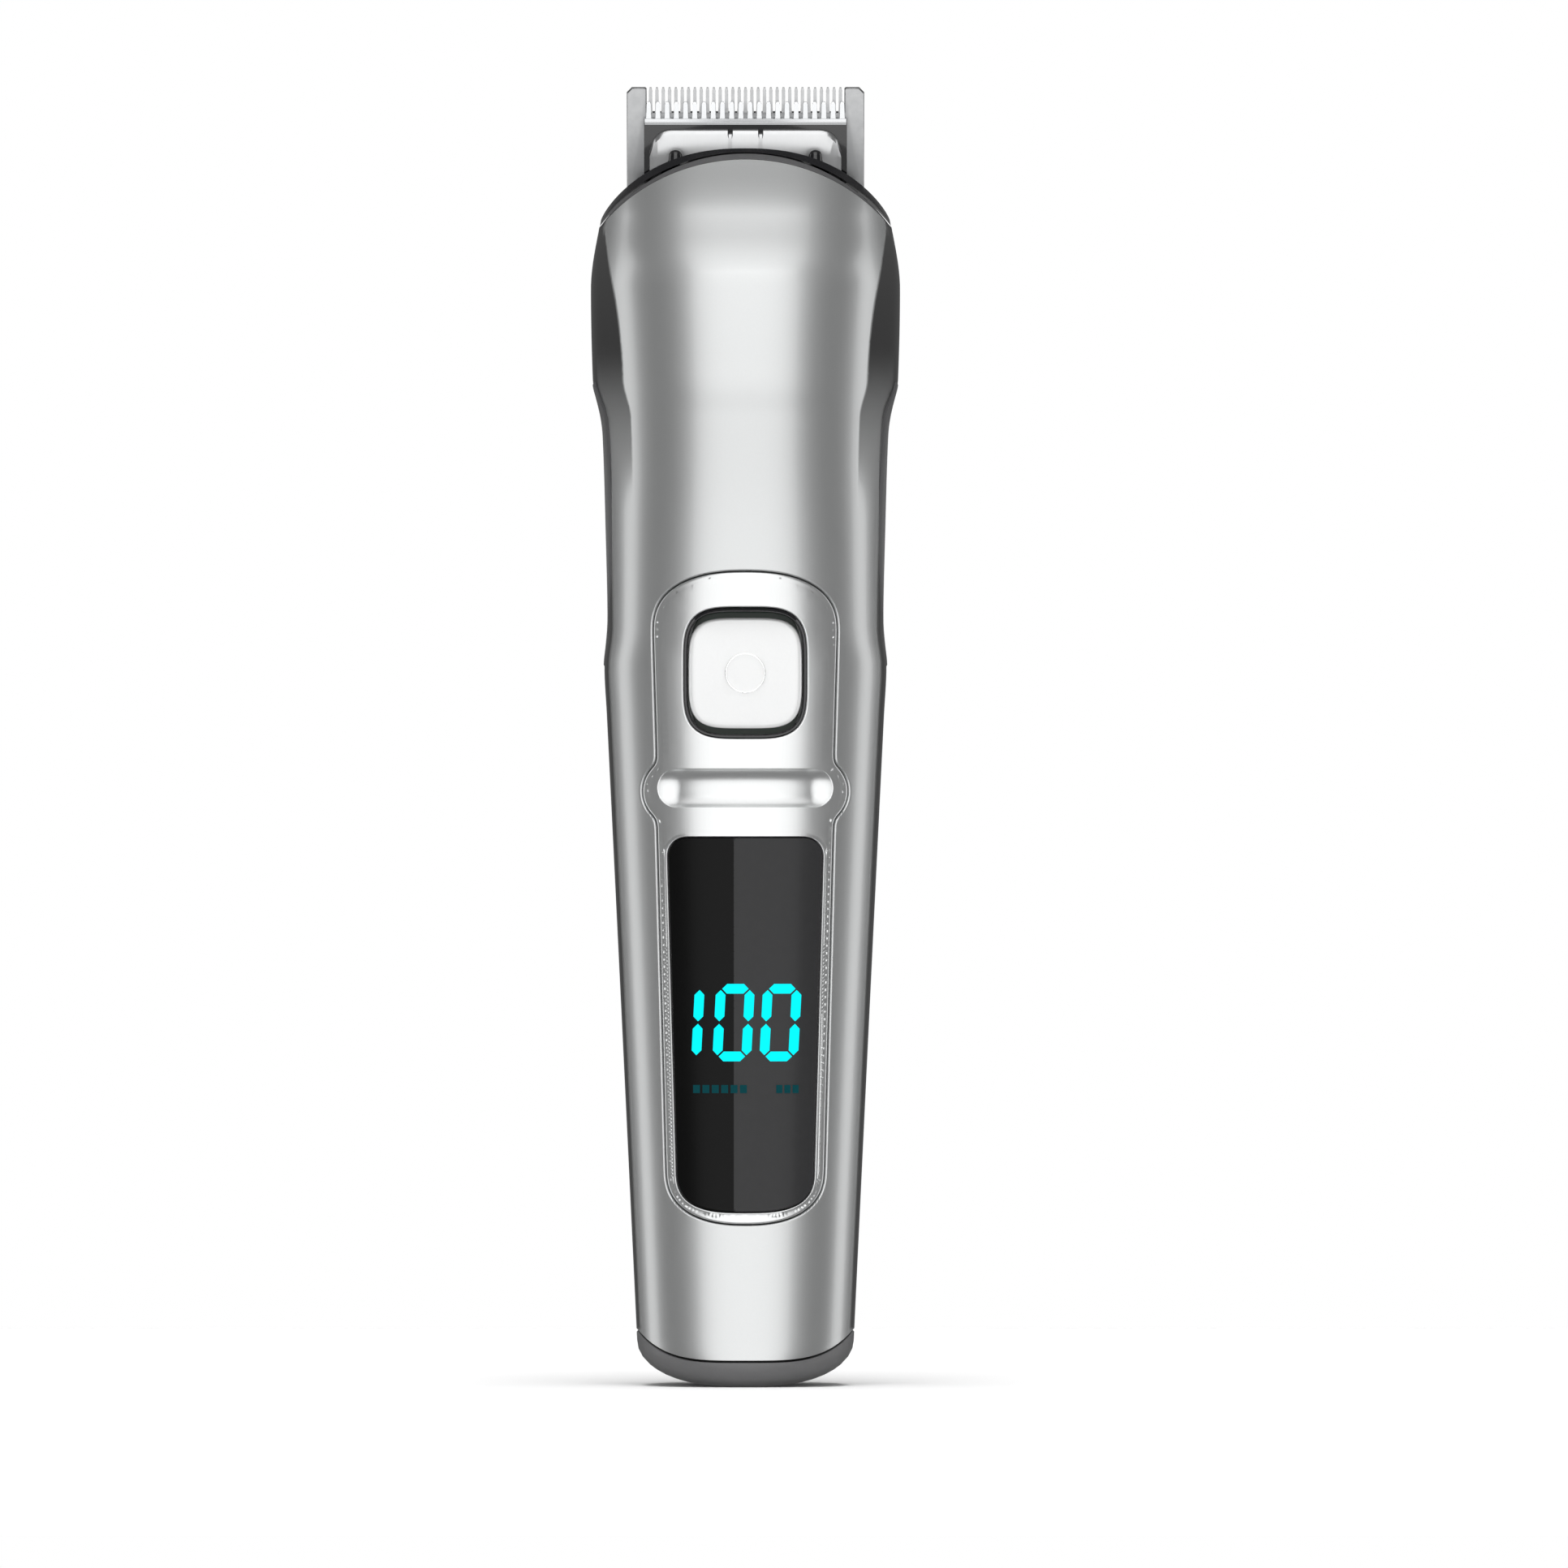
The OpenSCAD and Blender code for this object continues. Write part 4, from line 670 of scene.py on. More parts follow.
def build_dust(tree, source, result):
    """Pale dust that lies on faces that look up, in soft patches."""
    up = node(tree, "SeparateXYZ", {0: node(tree, "NewGeometry").outputs["Normal"]}).outputs[2]
    place = node(tree, "TexCoord").outputs["Object"]
    noise = node(tree, "TexNoise", {"Vector": place, "Scale": 260.0, "Detail": 5.0}).outputs["Fac"]
    patch = node(tree, "MapRange", {0: noise, 1: 0.45, 2: 0.75, 3: 0.0, 4: 1.0}).outputs[0]
    settled = math_node(tree, "MULTIPLY", up, patch, clamp=True)
    share = math_node(tree, "MULTIPLY", settled, source["Amount"], clamp=True)
    tree.links.new(mix_colour(tree, share, source["Colour"], (0.6, 0.58, 0.55, 1)), result["Colour"])
    tree.links.new(math_node(tree, "ADD", source["Roughness"], share, clamp=True), result["Roughness"])


def make_groups():
    colour, rough = ("Colour", "Color", (0.5, 0.5, 0.5, 1)), ("Roughness", "Float", 0.4)
    out_colour, out_rough = ("Colour", "Color"), ("Roughness", "Float")
    add_group("Grain", [colour, rough, ("Scale", "Float", 900.0), ("Amount", "Float", 0.15)],
              [out_colour, out_rough, ("Height", "Float")], build_grain)
    add_group("Brushed", [colour, rough, ("Stretch", "Vector", (100, 100, 4000)), ("Amount", "Float", 0.15)],
              [out_colour, out_rough, ("Height", "Float")], build_brushed)
    add_group("Edge wear", [colour, ("Worn", "Color", (0.8, 0.8, 0.8, 1)), ("Amount", "Float", 0.3)],
              [out_colour, ("Mask", "Float")], build_wear)
    add_group("Dust", [colour, rough, ("Amount", "Float", 0.04)], [out_colour, out_rough], build_dust)


def use_group(tree, name, links):
    made = tree.nodes.new("ShaderNodeGroup")
    made.node_tree = bpy.data.node_groups[name]
    for key, value in links.items():
        feed(tree, made.inputs[key], value)
    return made.outputs


def rgba(colour):
    return (*colour, 1.0)


FIXED_INPUTS = {
    "coat": "Coat Weight", "coat_roughness": "Coat Roughness", "ior": "IOR", "anisotropic": "Anisotropic",
    "specular": "Specular IOR Level", "sheen": "Sheen Weight", "subsurface": "Subsurface Weight",
}


def finish(name, colour, roughness, metallic=0.0, grain=0.12, scale=900.0, bump=0.0, brushed=None, worn=None,
           wear=0.0, dust=0.02, second=None, **fixed):
    """A material: colour and roughness through grain or brushing, then edge wear and dust.

    second is (mask attribute, colour, roughness, metallic) for a part of the piece in other values; both uses
    here carry a painted dark reflection.
    """
    material = bpy.data.materials.new(name)
    material.use_nodes = True
    tree = material.node_tree
    shader = tree.nodes["Principled BSDF"]
    base, rough, metal = rgba(colour), roughness, metallic
    if second:
        mask = node(tree, "Attribute", attribute_name=second[0]).outputs["Fac"]
        base = mix_colour(tree, mask, base, rgba(second[1]))
        rough = math_node(tree, "ADD", roughness, math_node(tree, "MULTIPLY", mask, second[2] - roughness))
        metal = math_node(tree, "ADD", metallic, math_node(tree, "MULTIPLY", mask, second[3] - metallic))
    if brushed:
        out = use_group(tree, "Brushed", {"Colour": base, "Roughness": rough, "Stretch": brushed,
                                          "Amount": grain})
    else:
        out = use_group(tree, "Grain", {"Colour": base, "Roughness": rough, "Scale": scale, "Amount": grain})
    shaded = out["Colour"]
    if wear:
        shaded = use_group(tree, "Edge wear", {"Colour": shaded, "Worn": rgba(worn or (0.7, 0.7, 0.7)),
                                               "Amount": wear})["Colour"]
    dusty = use_group(tree, "Dust", {"Colour": shaded, "Roughness": out["Roughness"], "Amount": dust})
    tree.links.new(dusty["Colour"], shader.inputs["Base Color"])
    tree.links.new(dusty["Roughness"], shader.inputs["Roughness"])
    feed(tree, shader.inputs["Metallic"], metal)
    if bump:
        pushed = node(tree, "Bump", {"Height": out["Height"], "Strength": bump, "Distance": 0.0001})
        tree.links.new(pushed.outputs[0], shader.inputs["Normal"])
    for key, value in fixed.items():
        shader.inputs[FIXED_INPUTS[key]].default_value = value
    return material


def glowing(name, colour, strength):
    """A lit display segment: its own colour, a little mottled, given off as light."""
    unlit = tuple(c * 0.15 for c in colour)
    material = finish(name, unlit, 0.6, grain=0.1, scale=2500.0, dust=0.0, specular=0.05)
    tree = material.node_tree
    shader = tree.nodes["Principled BSDF"]
    grain = {"Colour": rgba(colour), "Roughness": 0.4, "Scale": 1500.0, "Amount": 0.12}
    out = use_group(tree, "Grain", grain)
    tree.links.new(out["Colour"], shader.inputs["Emission Color"])
    shader.inputs["Emission Strength"].default_value = strength
    return material


def painted_reflection_glass():
    """Display glass with a painted reflection: the part over the left digit is darker and has a thinner clear
    coat.
    """
    material = finish("Display glass", (0.026, 0.026, 0.027), 0.3, grain=0.12, dust=0.0, specular=0.1,
                      coat_roughness=0.2, second=("left", (0.003, 0.003, 0.003), 0.3, 0.0))
    tree = material.node_tree
    mask = node(tree, "Attribute", attribute_name="left").outputs["Fac"]
    coat = math_node(tree, "SUBTRACT", 0.2, math_node(tree, "MULTIPLY", mask, 0.18))
    tree.links.new(coat, tree.nodes["Principled BSDF"].inputs["Coat Weight"])
    return material


def make_materials():
    """Every finish of the trimmer, by the slot that it belongs to."""
    return {
        # The silver lacquer's near-black second colour is a painted dark reflection on the front's side strips
        # and side facets.
        "silver_body": finish("Silver lacquer", tuple(body_sizes().lacquer), 0.38, metallic=0.9, grain=0.05,
                              scale=5200.0, dust=0.01, second=("smoke", (0.004, 0.004, 0.0042), 0.3, 0.0),
                              coat=0.5, coat_roughness=0.12),
        "silver_panel": finish("Silver panel", (0.72, 0.73, 0.73), 0.31, metallic=0.9, grain=0.06,
                               brushed=(5200, 5200, 120), dust=0.01, coat=0.25, coat_roughness=0.2),
        "black_body": finish("Black casing", (0.012, 0.012, 0.013), 0.2, grain=0.2, dust=0.03, wear=0.08,
                             worn=(0.1, 0.1, 0.1), coat=0.6, coat_roughness=0.08),
        "black_gloss": finish("Black gloss", (0.006, 0.006, 0.007), 0.12, grain=0.15, dust=0.02, coat=0.5,
                              coat_roughness=0.04),
        "black_plastic": finish("Black moulding", (0.02, 0.02, 0.021), 0.42, grain=0.25, bump=0.08, dust=0.03,
                                wear=0.1, worn=(0.12, 0.12, 0.12)),
        "grip": finish("Grip rubber", (0.045, 0.045, 0.047), 0.5, grain=0.3, scale=2600.0, bump=0.2,
                       dust=0.03, sheen=0.1),
        "rim_grey": finish("Dark rim", (0.075, 0.075, 0.077), 0.3, metallic=0.3, grain=0.15, coat=0.3,
                           coat_roughness=0.15, dust=0.02),
        "cap_grey": finish("Cap moulding", (0.12, 0.12, 0.122), 0.42, grain=0.14, scale=3200.0, bump=0.06,
                           dust=0.03),
        "pearl_button": finish("Pearl", (0.7, 0.705, 0.705), 0.24, metallic=0.15, grain=0.05, scale=3800.0,
                               dust=0.01, coat=0.6, coat_roughness=0.1),
        "ring_metal": finish("Bright ring", (0.86, 0.87, 0.88), 0.2, metallic=0.9, grain=0.06, dust=0.01),
        "window_gloss": painted_reflection_glass(),
        "digit_glow": glowing("Lit digits", tuple(panel_sizes().glow), 1.0),
        "caption_dim": glowing("Dim caption", (0.004, 0.1, 0.12), 0.35),
        "white_plastic": finish("White moulding", (0.75, 0.75, 0.74), 0.45, grain=0.08, dust=0.03),
        "board": finish("Circuit board", (0.01, 0.1, 0.04), 0.35, grain=0.3, scale=700.0, coat=0.3),
        "sheet_steel": finish("Sheet steel", (0.6, 0.6, 0.61), 0.32, metallic=1.0, grain=0.12,
                              brushed=(1800, 1800, 60)),
        "cell_sleeve": finish("Cell sleeve", (0.05, 0.22, 0.12), 0.35, grain=0.12, scale=500.0, coat=0.3),
        "nickel": finish("Nickel", (0.68, 0.66, 0.6), 0.25, metallic=1.0, grain=0.1),
        "ferrite": finish("Ferrite", (0.035, 0.034, 0.034), 0.7, grain=0.3, bump=0.15),
        "copper": finish("Copper", (0.8, 0.36, 0.2), 0.3, metallic=1.0, grain=0.2, brushed=(4000, 4000, 300)),
        "bronze": finish("Sintered bronze", (0.5, 0.3, 0.12), 0.45, metallic=1.0, grain=0.3, bump=0.1),
        "steel": finish("Ground steel", (0.63, 0.63, 0.64), 0.25, metallic=1.0, grain=0.1, wear=0.2),
        "core_steel": finish("Lamination steel", (0.36, 0.36, 0.38), 0.42, metallic=1.0, grain=0.2,
                             brushed=(60, 60, 5000)),
        "seal_rubber": finish("Seal rubber", (0.015, 0.015, 0.015), 0.65, grain=0.3, bump=0.1),
        "blade_steel": finish("Blade steel", (0.36, 0.365, 0.37), 0.36, metallic=1.0, grain=0.1,
                              brushed=(300, 5200, 5200), wear=0.3, worn=(0.92, 0.92, 0.92), dust=0.0),
        "cutter_steel": finish("Cutter steel", (0.62, 0.63, 0.64), 0.16, metallic=1.0, grain=0.08, dust=0.0),
        "cover_steel": finish("Cover plate", (0.58, 0.585, 0.59), 0.3, metallic=0.95, grain=0.06,
                              brushed=(5200, 300, 300), dust=0.0, wear=0.3, worn=(1, 1, 1)),
        "spring_steel": finish("Spring steel", (0.55, 0.55, 0.57), 0.25, metallic=1.0, grain=0.1),
        "light_grey": finish("Light grey moulding", (0.62, 0.63, 0.64), 0.4, grain=0.1, bump=0.04, dust=0.02),
    }


def finish_of(slot):
    return bpy.data.materials[bpy.context.scene["finishes"][slot]]


# -------------------------------------------------------------------------------- casing pieces


def painted_reflection_mask(body):
    """Where dark reflection is painted black on the front: a thin strip at each side, and the side facets near
    the head.
    """

    def mask(x, z):
        share = np.abs(x) / body.half(z)
        strip = smooth((share - 0.952) / 0.012)
        beyond = smooth((share - body.crease(z)) / 0.012 + 0.5)
        return np.maximum(strip, beyond * smooth((z - TOP + 52) / 20))

    return mask


def head_arch(corner_x, corner_z, crown):
    """Height of the arch that joins two corners through a crown."""
    rise = crown - corner_z
    radius = (corner_x**2 + rise**2) / (2 * rise)

    def height(x):
        away = np.minimum(np.abs(x), corner_x * 1.05)
        return crown - radius + np.sqrt(np.maximum(0, radius**2 - away**2))

    return height


CORNER_X, CORNER_Z = 17.7, TOP - 17.4
SHELL_ARCH = head_arch(CORNER_X, CORNER_Z, TOP - 9.4)
RIM_ARCH = head_arch(CORNER_X, CORNER_Z + 0.2, TOP - 8.65)
SEAM_GAP = 0.3


CAP_REACH = 13.3   # half width of the body at the end cap's seam


def cap_seam(s, x):
    """Height of the seam between casing and end cap: low in the middle, high at the sides."""
    return s.seam_mid + (s.seam_side - s.seam_mid) * np.minimum(1, np.abs(x) / CAP_REACH) ** 4


def casing_outline(body, s):
    """The casing seen from the front: from the end cap's seam up to the arch under the head."""
    foot_x = np.linspace(0, 0.999, 60) * CAP_REACH
    foot_z = cap_seam(s, foot_x) + SEAM_GAP
    foot_x[-1] = body.half(foot_z[-1:])[0]
    flank_z = np.linspace(foot_z[-1], CORNER_Z, 260)[1:]
    flank_x = body.half(flank_z)
    top_x = np.linspace(flank_x[-1], 0, 50)[1:]
    right = np.vstack([np.c_[foot_x, foot_z], np.c_[flank_x, flank_z], np.c_[top_x, SHELL_ARCH(top_x)]])
    left = right[::-1][1:-1] * [-1, 1]
    return np.vstack([right, left])


def make_front_cover():
    s = body_sizes()
    body = Profile(s)
    outer = resample(casing_outline(body, s), 0.9)
    hole = resample(offset(panel_outline(panel_sizes()), 0.15), 0.5)
    crease_z = np.arange(body.waist + FACET_RUN, CORNER_Z - 1, 0.5)
    lines = []
    for shift in (-0.008, 0.008):
        crease_x = (body.crease(crease_z) + shift) * body.half(crease_z)
        lines += [np.c_[crease_x, crease_z], np.c_[-crease_x, crease_z]]
    # The near-black mask on the cover paints dark reflection on its side strips and on the side facets near
    # the head.
    cover = skin_piece("front_cover", body, "front", outer, [hole], finish_of("silver_body"),
                       0.0, s.wall, 0.0, (1.0, 1.3), hole_fillets={0: 0.25}, extra=np.vstack(lines),
                       masks={"smoke": painted_reflection_mask(body)})
    finish_piece(cover, "handle", "silver_body", "front_shell")


SCREW_X, SCREW_LOW, SCREW_R, BOSS_R = 7.0, 13.6, 2.2, 3.1


def screw_places():
    """Middles of the four screws, in x and z."""
    high = limits("housing_screws")[1][2] - SCREW_R + 0.1
    return [(x, z) for x in (-SCREW_X, SCREW_X) for z in (SCREW_LOW, high)]


def make_rear_cover():
    s = body_sizes()
    body = Profile(s)
    outer = resample(casing_outline(body, s), 0.9)
    holes = [circle(x, z, SCREW_R) for x, z in screw_places()]
    cover = skin_piece("rear_cover", body, "back", outer, holes, finish_of("black_body"), 0.0, s.wall, 0.0,
                       (1.2, 1.6), hole_fillets={i: 0.2 for i in range(len(holes))})
    finish_piece(cover, "handle", "black_body", "rear_shell")


def make_screw_bosses():
    """Tubes inside the back half, from the seam to the skin, that the screws run in."""
    s = body_sizes()
    body = Profile(s)
    seam_gap = 0.2
    parts = []
    for x, z in screw_places():
        inner, outer = circle(x, z, SCREW_R - 0.02), circle(x, z, BOSS_R)
        rows = []
        for ring, at_skin in ((inner, False), (outer, False), (outer, True), (inner, True)):
            skin = oval(ring[:, 0], body.half(ring[:, 1]), body.back(ring[:, 1]), BACK_POWER) - s.wall / 2
            rows.append(np.c_[ring[:, 0], skin if at_skin else np.full(len(ring), seam_gap), ring[:, 1]])
        parts.append(ring_sweep(rows))
    points, faces = join(parts)
    bosses = new_object("screw_bosses", points, faces, finish_of("black_plastic"))
    orient(bosses)
    finish_piece(bosses, "handle", "black_body")


def scoop_relief(p):
    """Depth of the finger scoop: a round groove that ends in quarter balls."""
    half = p.scoop_h / 2
    radius = (half**2 + p.scoop_depth**2) / (2 * p.scoop_depth)
    edge = math.sqrt(radius**2 - half**2)

    def relief(x, z):
        along = np.maximum(0, np.abs(x) - p.scoop_len / 2 + half)
        away = np.hypot(along, z - p.scoop_z)
        return np.maximum(0, np.sqrt(np.maximum(0, radius**2 - away**2)) - edge)

    return relief


def stadium(length, height, z, share):
    """Slot outline about the middle line, shrunk to a share of its height."""
    half, turns = height / 2 * share, np.linspace(-math.pi / 2, math.pi / 2, 24)
    end = np.c_[length / 2 - height / 2 + half * np.cos(turns), half * np.sin(turns) + z]
    return resample(np.vstack([end, end[::-1] * [-1, 1]]), OUTLINE_STEP)


RIDGE_INSET, WINDOW_RIDGE, RIDGE_W, RIDGE_DEPTH = 0.55, 0.45, 0.22, 0.1


def panel_relief(p, outline, window):
    """The scoop, and a fine groove that runs round the panel and round the window."""
    scoop = scoop_relief(p)

    def relief(x, z):
        points = np.stack([x, z], axis=-1)
        groove = 0.0
        for loop, middle in ((outline, RIDGE_INSET), (window, WINDOW_RIDGE)):
            near = np.abs(distance_to(points, loop) - middle)
            groove = np.maximum(groove, RIDGE_DEPTH * (1 - smooth(near / RIDGE_W)))
        return scoop(x, z) + groove

    return relief


def well_outline(p, grow):
    """Round of the button's well: the button's own outline, stretched along the body."""
    ring = squircle(p.button_w, p.button_h)
    ring = ring + np.c_[np.zeros(len(ring)), np.clip(ring[:, 1] * 2, -0.6, 0.6)]
    return offset(ring, grow) + [0, p.button_z]


def make_panel():
    p = panel_sizes()
    body = Profile(body_sizes())
    outline = panel_outline(p)
    window = window_outline(p)
    well = resample(well_outline(p, 0.65), 0.35)
    window_hole = resample(offset(window, 0.12), 0.35)
    grooves = [offset(resample(outline, 0.45), -RIDGE_INSET + d) for d in (-RIDGE_W, 0, RIDGE_W)]
    grooves += [offset(resample(window, 0.45), WINDOW_RIDGE + d) for d in (-0.12, 0, RIDGE_W)]
    shares = (1.03, 0.97, 0.85, 0.7, 0.5, 0.3, 0.1)
    scoop = [stadium(p.scoop_len, p.scoop_h, p.scoop_z, share) for share in shares]
    panel = skin_piece("panel", body, "front", outline, [well, window_hole], finish_of("silver_panel"),
                       0.0, 1.9, 0.3, (0.9, 0.9), relief=panel_relief(p, outline, window),
                       hole_fillets={0: 0.2, 1: 0.15}, extra=np.vstack(grooves + scoop))
    finish_piece(panel, "handle", "silver_panel", "control_panel")


REFLECTION_SPLIT_X = -1.4   # the display's painted reflection: its darker left part ends here


def make_window():
    p = panel_sizes()
    body = Profile(body_sizes())
    outline = window_outline(p)
    # The left mask marks the darker side of the glass's painted reflection.
    line = np.c_[np.full(240, 0.0), np.linspace(p.window_bottom + 0.5, p.window_top - 0.5, 240)]
    split = [line + [REFLECTION_SPLIT_X + shift, 0] for shift in (-0.02, 0.02)]
    window = skin_piece("window", body, "front", outline, [], finish_of("window_gloss"), 0.03, 1.15, 0.2,
                        (1.0, 1.0), extra=np.vstack(split),
                        masks={"left": lambda x, z: (x < REFLECTION_SPLIT_X).astype(float)})
    finish_piece(window, "handle", "window_gloss", "display_window")


# -------------------------------------------------------------------------------- button


BUTTON_CROWN, RING_R = 60.0, 2.375   # radius of the button's domed face, and of the ring on it


def make_button():
    p = panel_sizes()
    face_y = Profile(body_sizes()).front_y(0.0, p.button_z) - 0.35
    rim = squircle(p.button_w, p.button_h)
    back = limits("power_button")[1][1]

    def face(ring, drop=0.0):
        away = np.linalg.norm(ring, axis=1)
        emboss = 0.05 * np.exp(-((away - RING_R) / 0.14) ** 4)
        return np.c_[ring[:, 0], face_y + away**2 / (2 * BUTTON_CROWN) + drop - emboss, ring[:, 1]]

    rows = [np.c_[rim[:, 0], np.full(len(rim), back), rim[:, 1]]]
    for shrink, drop in ((0, 0.55), (0.07, 0.32), (0.16, 0.16), (0.3, 0.05), (0.48, 0.0)):
        rows.append(face(offset(rim, -shrink) if shrink else rim, drop))
    inner = offset(rim, -0.48)
    rows += [face(inner * share) for share in (0.93, 0.82, 0.7, 0.58, 0.47)]
    turn = np.arctan2(inner[:, 1], inner[:, 0])
    for radius in (2.56, 2.5, 2.44, RING_R, 2.31, 2.25, 2.19, 1.6, 0.8, 0.25):
        rows.append(face(np.c_[radius * np.cos(turn), radius * np.sin(turn)]))
    points, faces = loft_rows([row + [0, 0, p.button_z] for row in rows], True, True)
    button = new_object("button_cap", points, [f[::-1] for f in faces], finish_of("pearl_button"))
    finish_piece(button, "button", "pearl_button", "power_button")
    make_button_halo(p, face_y)


def make_button_halo(p, face_y):
    """Fine raised ring in the middle of the button."""
    half, lift, count = 0.11, 0.06, 96
    turns = np.linspace(0, 2 * math.pi, count, endpoint=False)
    rows = []
    for angle in np.linspace(0, 2 * math.pi, 10, endpoint=False):
        away = RING_R + half * math.cos(angle)
        y = face_y + away**2 / (2 * BUTTON_CROWN) - lift * max(math.sin(angle), -0.8)
        rows.append(np.c_[away * np.cos(turns), np.full(count, y), away * np.sin(turns) + p.button_z])
    points, faces = ring_sweep(rows)
    halo = new_object("button_halo", points, faces, finish_of("ring_metal"))
    finish_piece(halo, "button", "pearl_button", "button_ring")


def make_button_surround():
    """Glossy black wall of the well that the button moves in."""
    p = panel_sizes()
    body = Profile(body_sizes())
    back = limits("button_well")[1][1]
    inner, mid, outer = (well_outline(p, grow) for grow in (0.1, 0.3, 0.58))

    def at(ring, inset):
        return np.c_[ring[:, 0], body.front_y(ring[:, 0], ring[:, 1], inset), ring[:, 1]]

    def flat(ring, y):
        return np.c_[ring[:, 0], np.full(len(ring), y), ring[:, 1]]

    rows = [flat(inner, back), flat(outer, back), at(outer, 0.3), at(offset(outer, -0.08), 0.16),
            at(mid, 0.22), at(offset(inner, 0.05), 0.42), at(inner, 0.6), flat(inner, back - 0.5)]
    points, faces = ring_sweep(rows)
    surround = new_object("button_surround", points, faces, finish_of("black_gloss"))
    orient(surround)
    finish_piece(surround, "handle", "black_gloss", "button_well")


# -------------------------------------------------------------------------------- digits

# each bar of a digit: its side, its height, and whether it stands upright
SEGMENTS = {
    "top": (0, 1, 0), "middle": (0, 0, 0), "bottom": (0, -1, 0), "high_left": (-1, 0.5, 1),
    "low_left": (-1, -0.5, 1), "high_right": (1, 0.5, 1), "low_right": (1, -0.5, 1),
}
ZERO = tuple(key for key in SEGMENTS if key != "middle")
ONE = ("high_right", "low_right")
DIGITS = ((-7.575, ONE), (-1.425, ZERO), (4.325, ZERO))   # middle of each digit and its lit bars


def bar_outline(length, width):
    """A display bar: a rectangle with mitred ends."""
    l, w = length / 2, width / 2
    return np.array([[-l, 0], [-l + w, -w], [l - w, -w], [l, 0], [l - w, w], [-l + w, w]])


def make_digits():
    p = panel_sizes()
    body = Profile(body_sizes())
    stroke, gap, slant = 1.2, 0.15, math.tan(math.radians(3))
    wide, tall = p.digit_w - stroke, p.digit_h - stroke
    parts = []
    for centre_x, lit in DIGITS:
        for side, up, standing in (SEGMENTS[key] for key in lit):
            bar = bar_outline((tall / 2 if standing else wide) - 2 * gap, stroke)
            if standing:
                bar = bar[:, ::-1] * [-1, 1]
            bar = bar + [side * wide / 2, up * tall / 2]
            bar[:, 0] += bar[:, 1] * slant + centre_x
            bar[:, 1] += p.digit_z
            parts.append(tile_on_face(body, bar))
    points, faces = join(parts)
    digits = new_object("lit_digits", points, faces, finish_of("digit_glow"))
    finish_piece(digits, "handle", "digit_glow", "display_digits")


def make_display_marks():
    """Two short rows of plain bars below the digits."""
    body = Profile(body_sizes())
    middle_z, half_h = 36.6, 0.5
    parts = []
    for start, pitch, width, count in ((-6.4, 1.15, 0.85, 6), (3.8, 1.0, 0.75, 3)):
        for i in range(count):
            x = start + i * pitch
            low, high = middle_z - half_h, middle_z + half_h
            bar = np.array([[x, low], [x + width, low], [x + width, high], [x, high]])
            parts.append(tile_on_face(body, bar))
    points, faces = join(parts)
    marks = new_object("display_marks", points, faces, finish_of("caption_dim"))
    finish_piece(marks, "handle", "digit_glow")


TILE_TOP, TILE_FOOT = -0.02, 0.06   # how deep the two faces of a display bar lie


def tile_on_face(body, outline):
    """A thin tile that lies on the front surface."""
    x, z = anticlockwise(outline).T
    rows = [np.c_[x, body.front_y(x, z, inset), z] for inset in (TILE_TOP, TILE_FOOT)]
    return loft_rows(rows, True, True)


# -------------------------------------------------------------------------------- end cap, head, grips


def round_body(body, turns, z, inset):
    """One ring round the whole body, anticlockwise seen from above; z is one height or one per point."""
    count = len(turns)
    z = np.broadcast_to(z, 2 * count - 2)
    front = body.point("front", turns, z[:count], inset)
    back = body.point("back", turns[::-1][1:-1], z[count:], inset)
    return np.vstack([front, back])


def make_cap():
    """Foot of the body: rounded below, its seam raised at the sides, with the charging slot in its floor."""
    s = body_sizes()
    body = Profile(s)
    turns = np.linspace(-90, 90, 61)
    seam = np.full(2 * len(turns) - 2, s.seam_mid)
    for _ in range(4):
        seam = cap_seam(s, round_body(body, turns, seam, 0.0)[:, 0])
    heights = (0, 0.08, 0.22, 0.45, 0.8, 1.3, 1.9, 2.5)
    rows = [round_body(body, turns, z, 0.0) for z in heights]
    for share in (0.25, 0.5, 0.75):
        rows.append(round_body(body, turns, heights[-1] + (seam - 0.15 - heights[-1]) * share, 0.0))
    for drop, inset in ((0.12, 0.0), (0.0, 0.1), (0.0, s.wall - 0.2), (1.6, s.wall + 0.1)):
        rows.append(round_body(body, turns, seam - drop, inset))
    spigot_top, inner = limits("end_cap")[1][2], s.wall + 1.3
    rows += [round_body(body, turns, spigot_top, s.wall + 0.1), round_body(body, turns, spigot_top, inner)]
    rows.append(round_body(body, turns, s.seam_mid, inner) * [1, 1, 0.55])
    points, faces = ring_sweep(charging_slot(rows[0], rows[7]) + rows)
    cap = new_object("cap", points, faces, finish_of("cap_grey"))
    orient(cap)
    finish_piece(cap, "handle", "cap_grey", "end_cap")


def charging_slot(foot, ring):
    """Rows of the slot in the cap's floor, and one between the slot and the foot's edge."""
    low, high = limits("usb_socket")
    slot_half, slot_r, depth = 4.47, 1.63, 0.9
    middle_y, straight = (low[1] + high[1]) / 2, slot_half - slot_r
    turn = np.arctan2(ring[:, 1] - middle_y, ring[:, 0])
    x = np.clip(slot_half * 1.6 * np.cos(turn), -straight, straight) + slot_r * np.cos(turn)
    slot = np.c_[x, middle_y + slot_r * np.sin(turn), np.zeros(len(ring))]
    return [slot + [0, 0, depth], slot, foot * [0.7, 0.7, 0] + slot * 0.3]


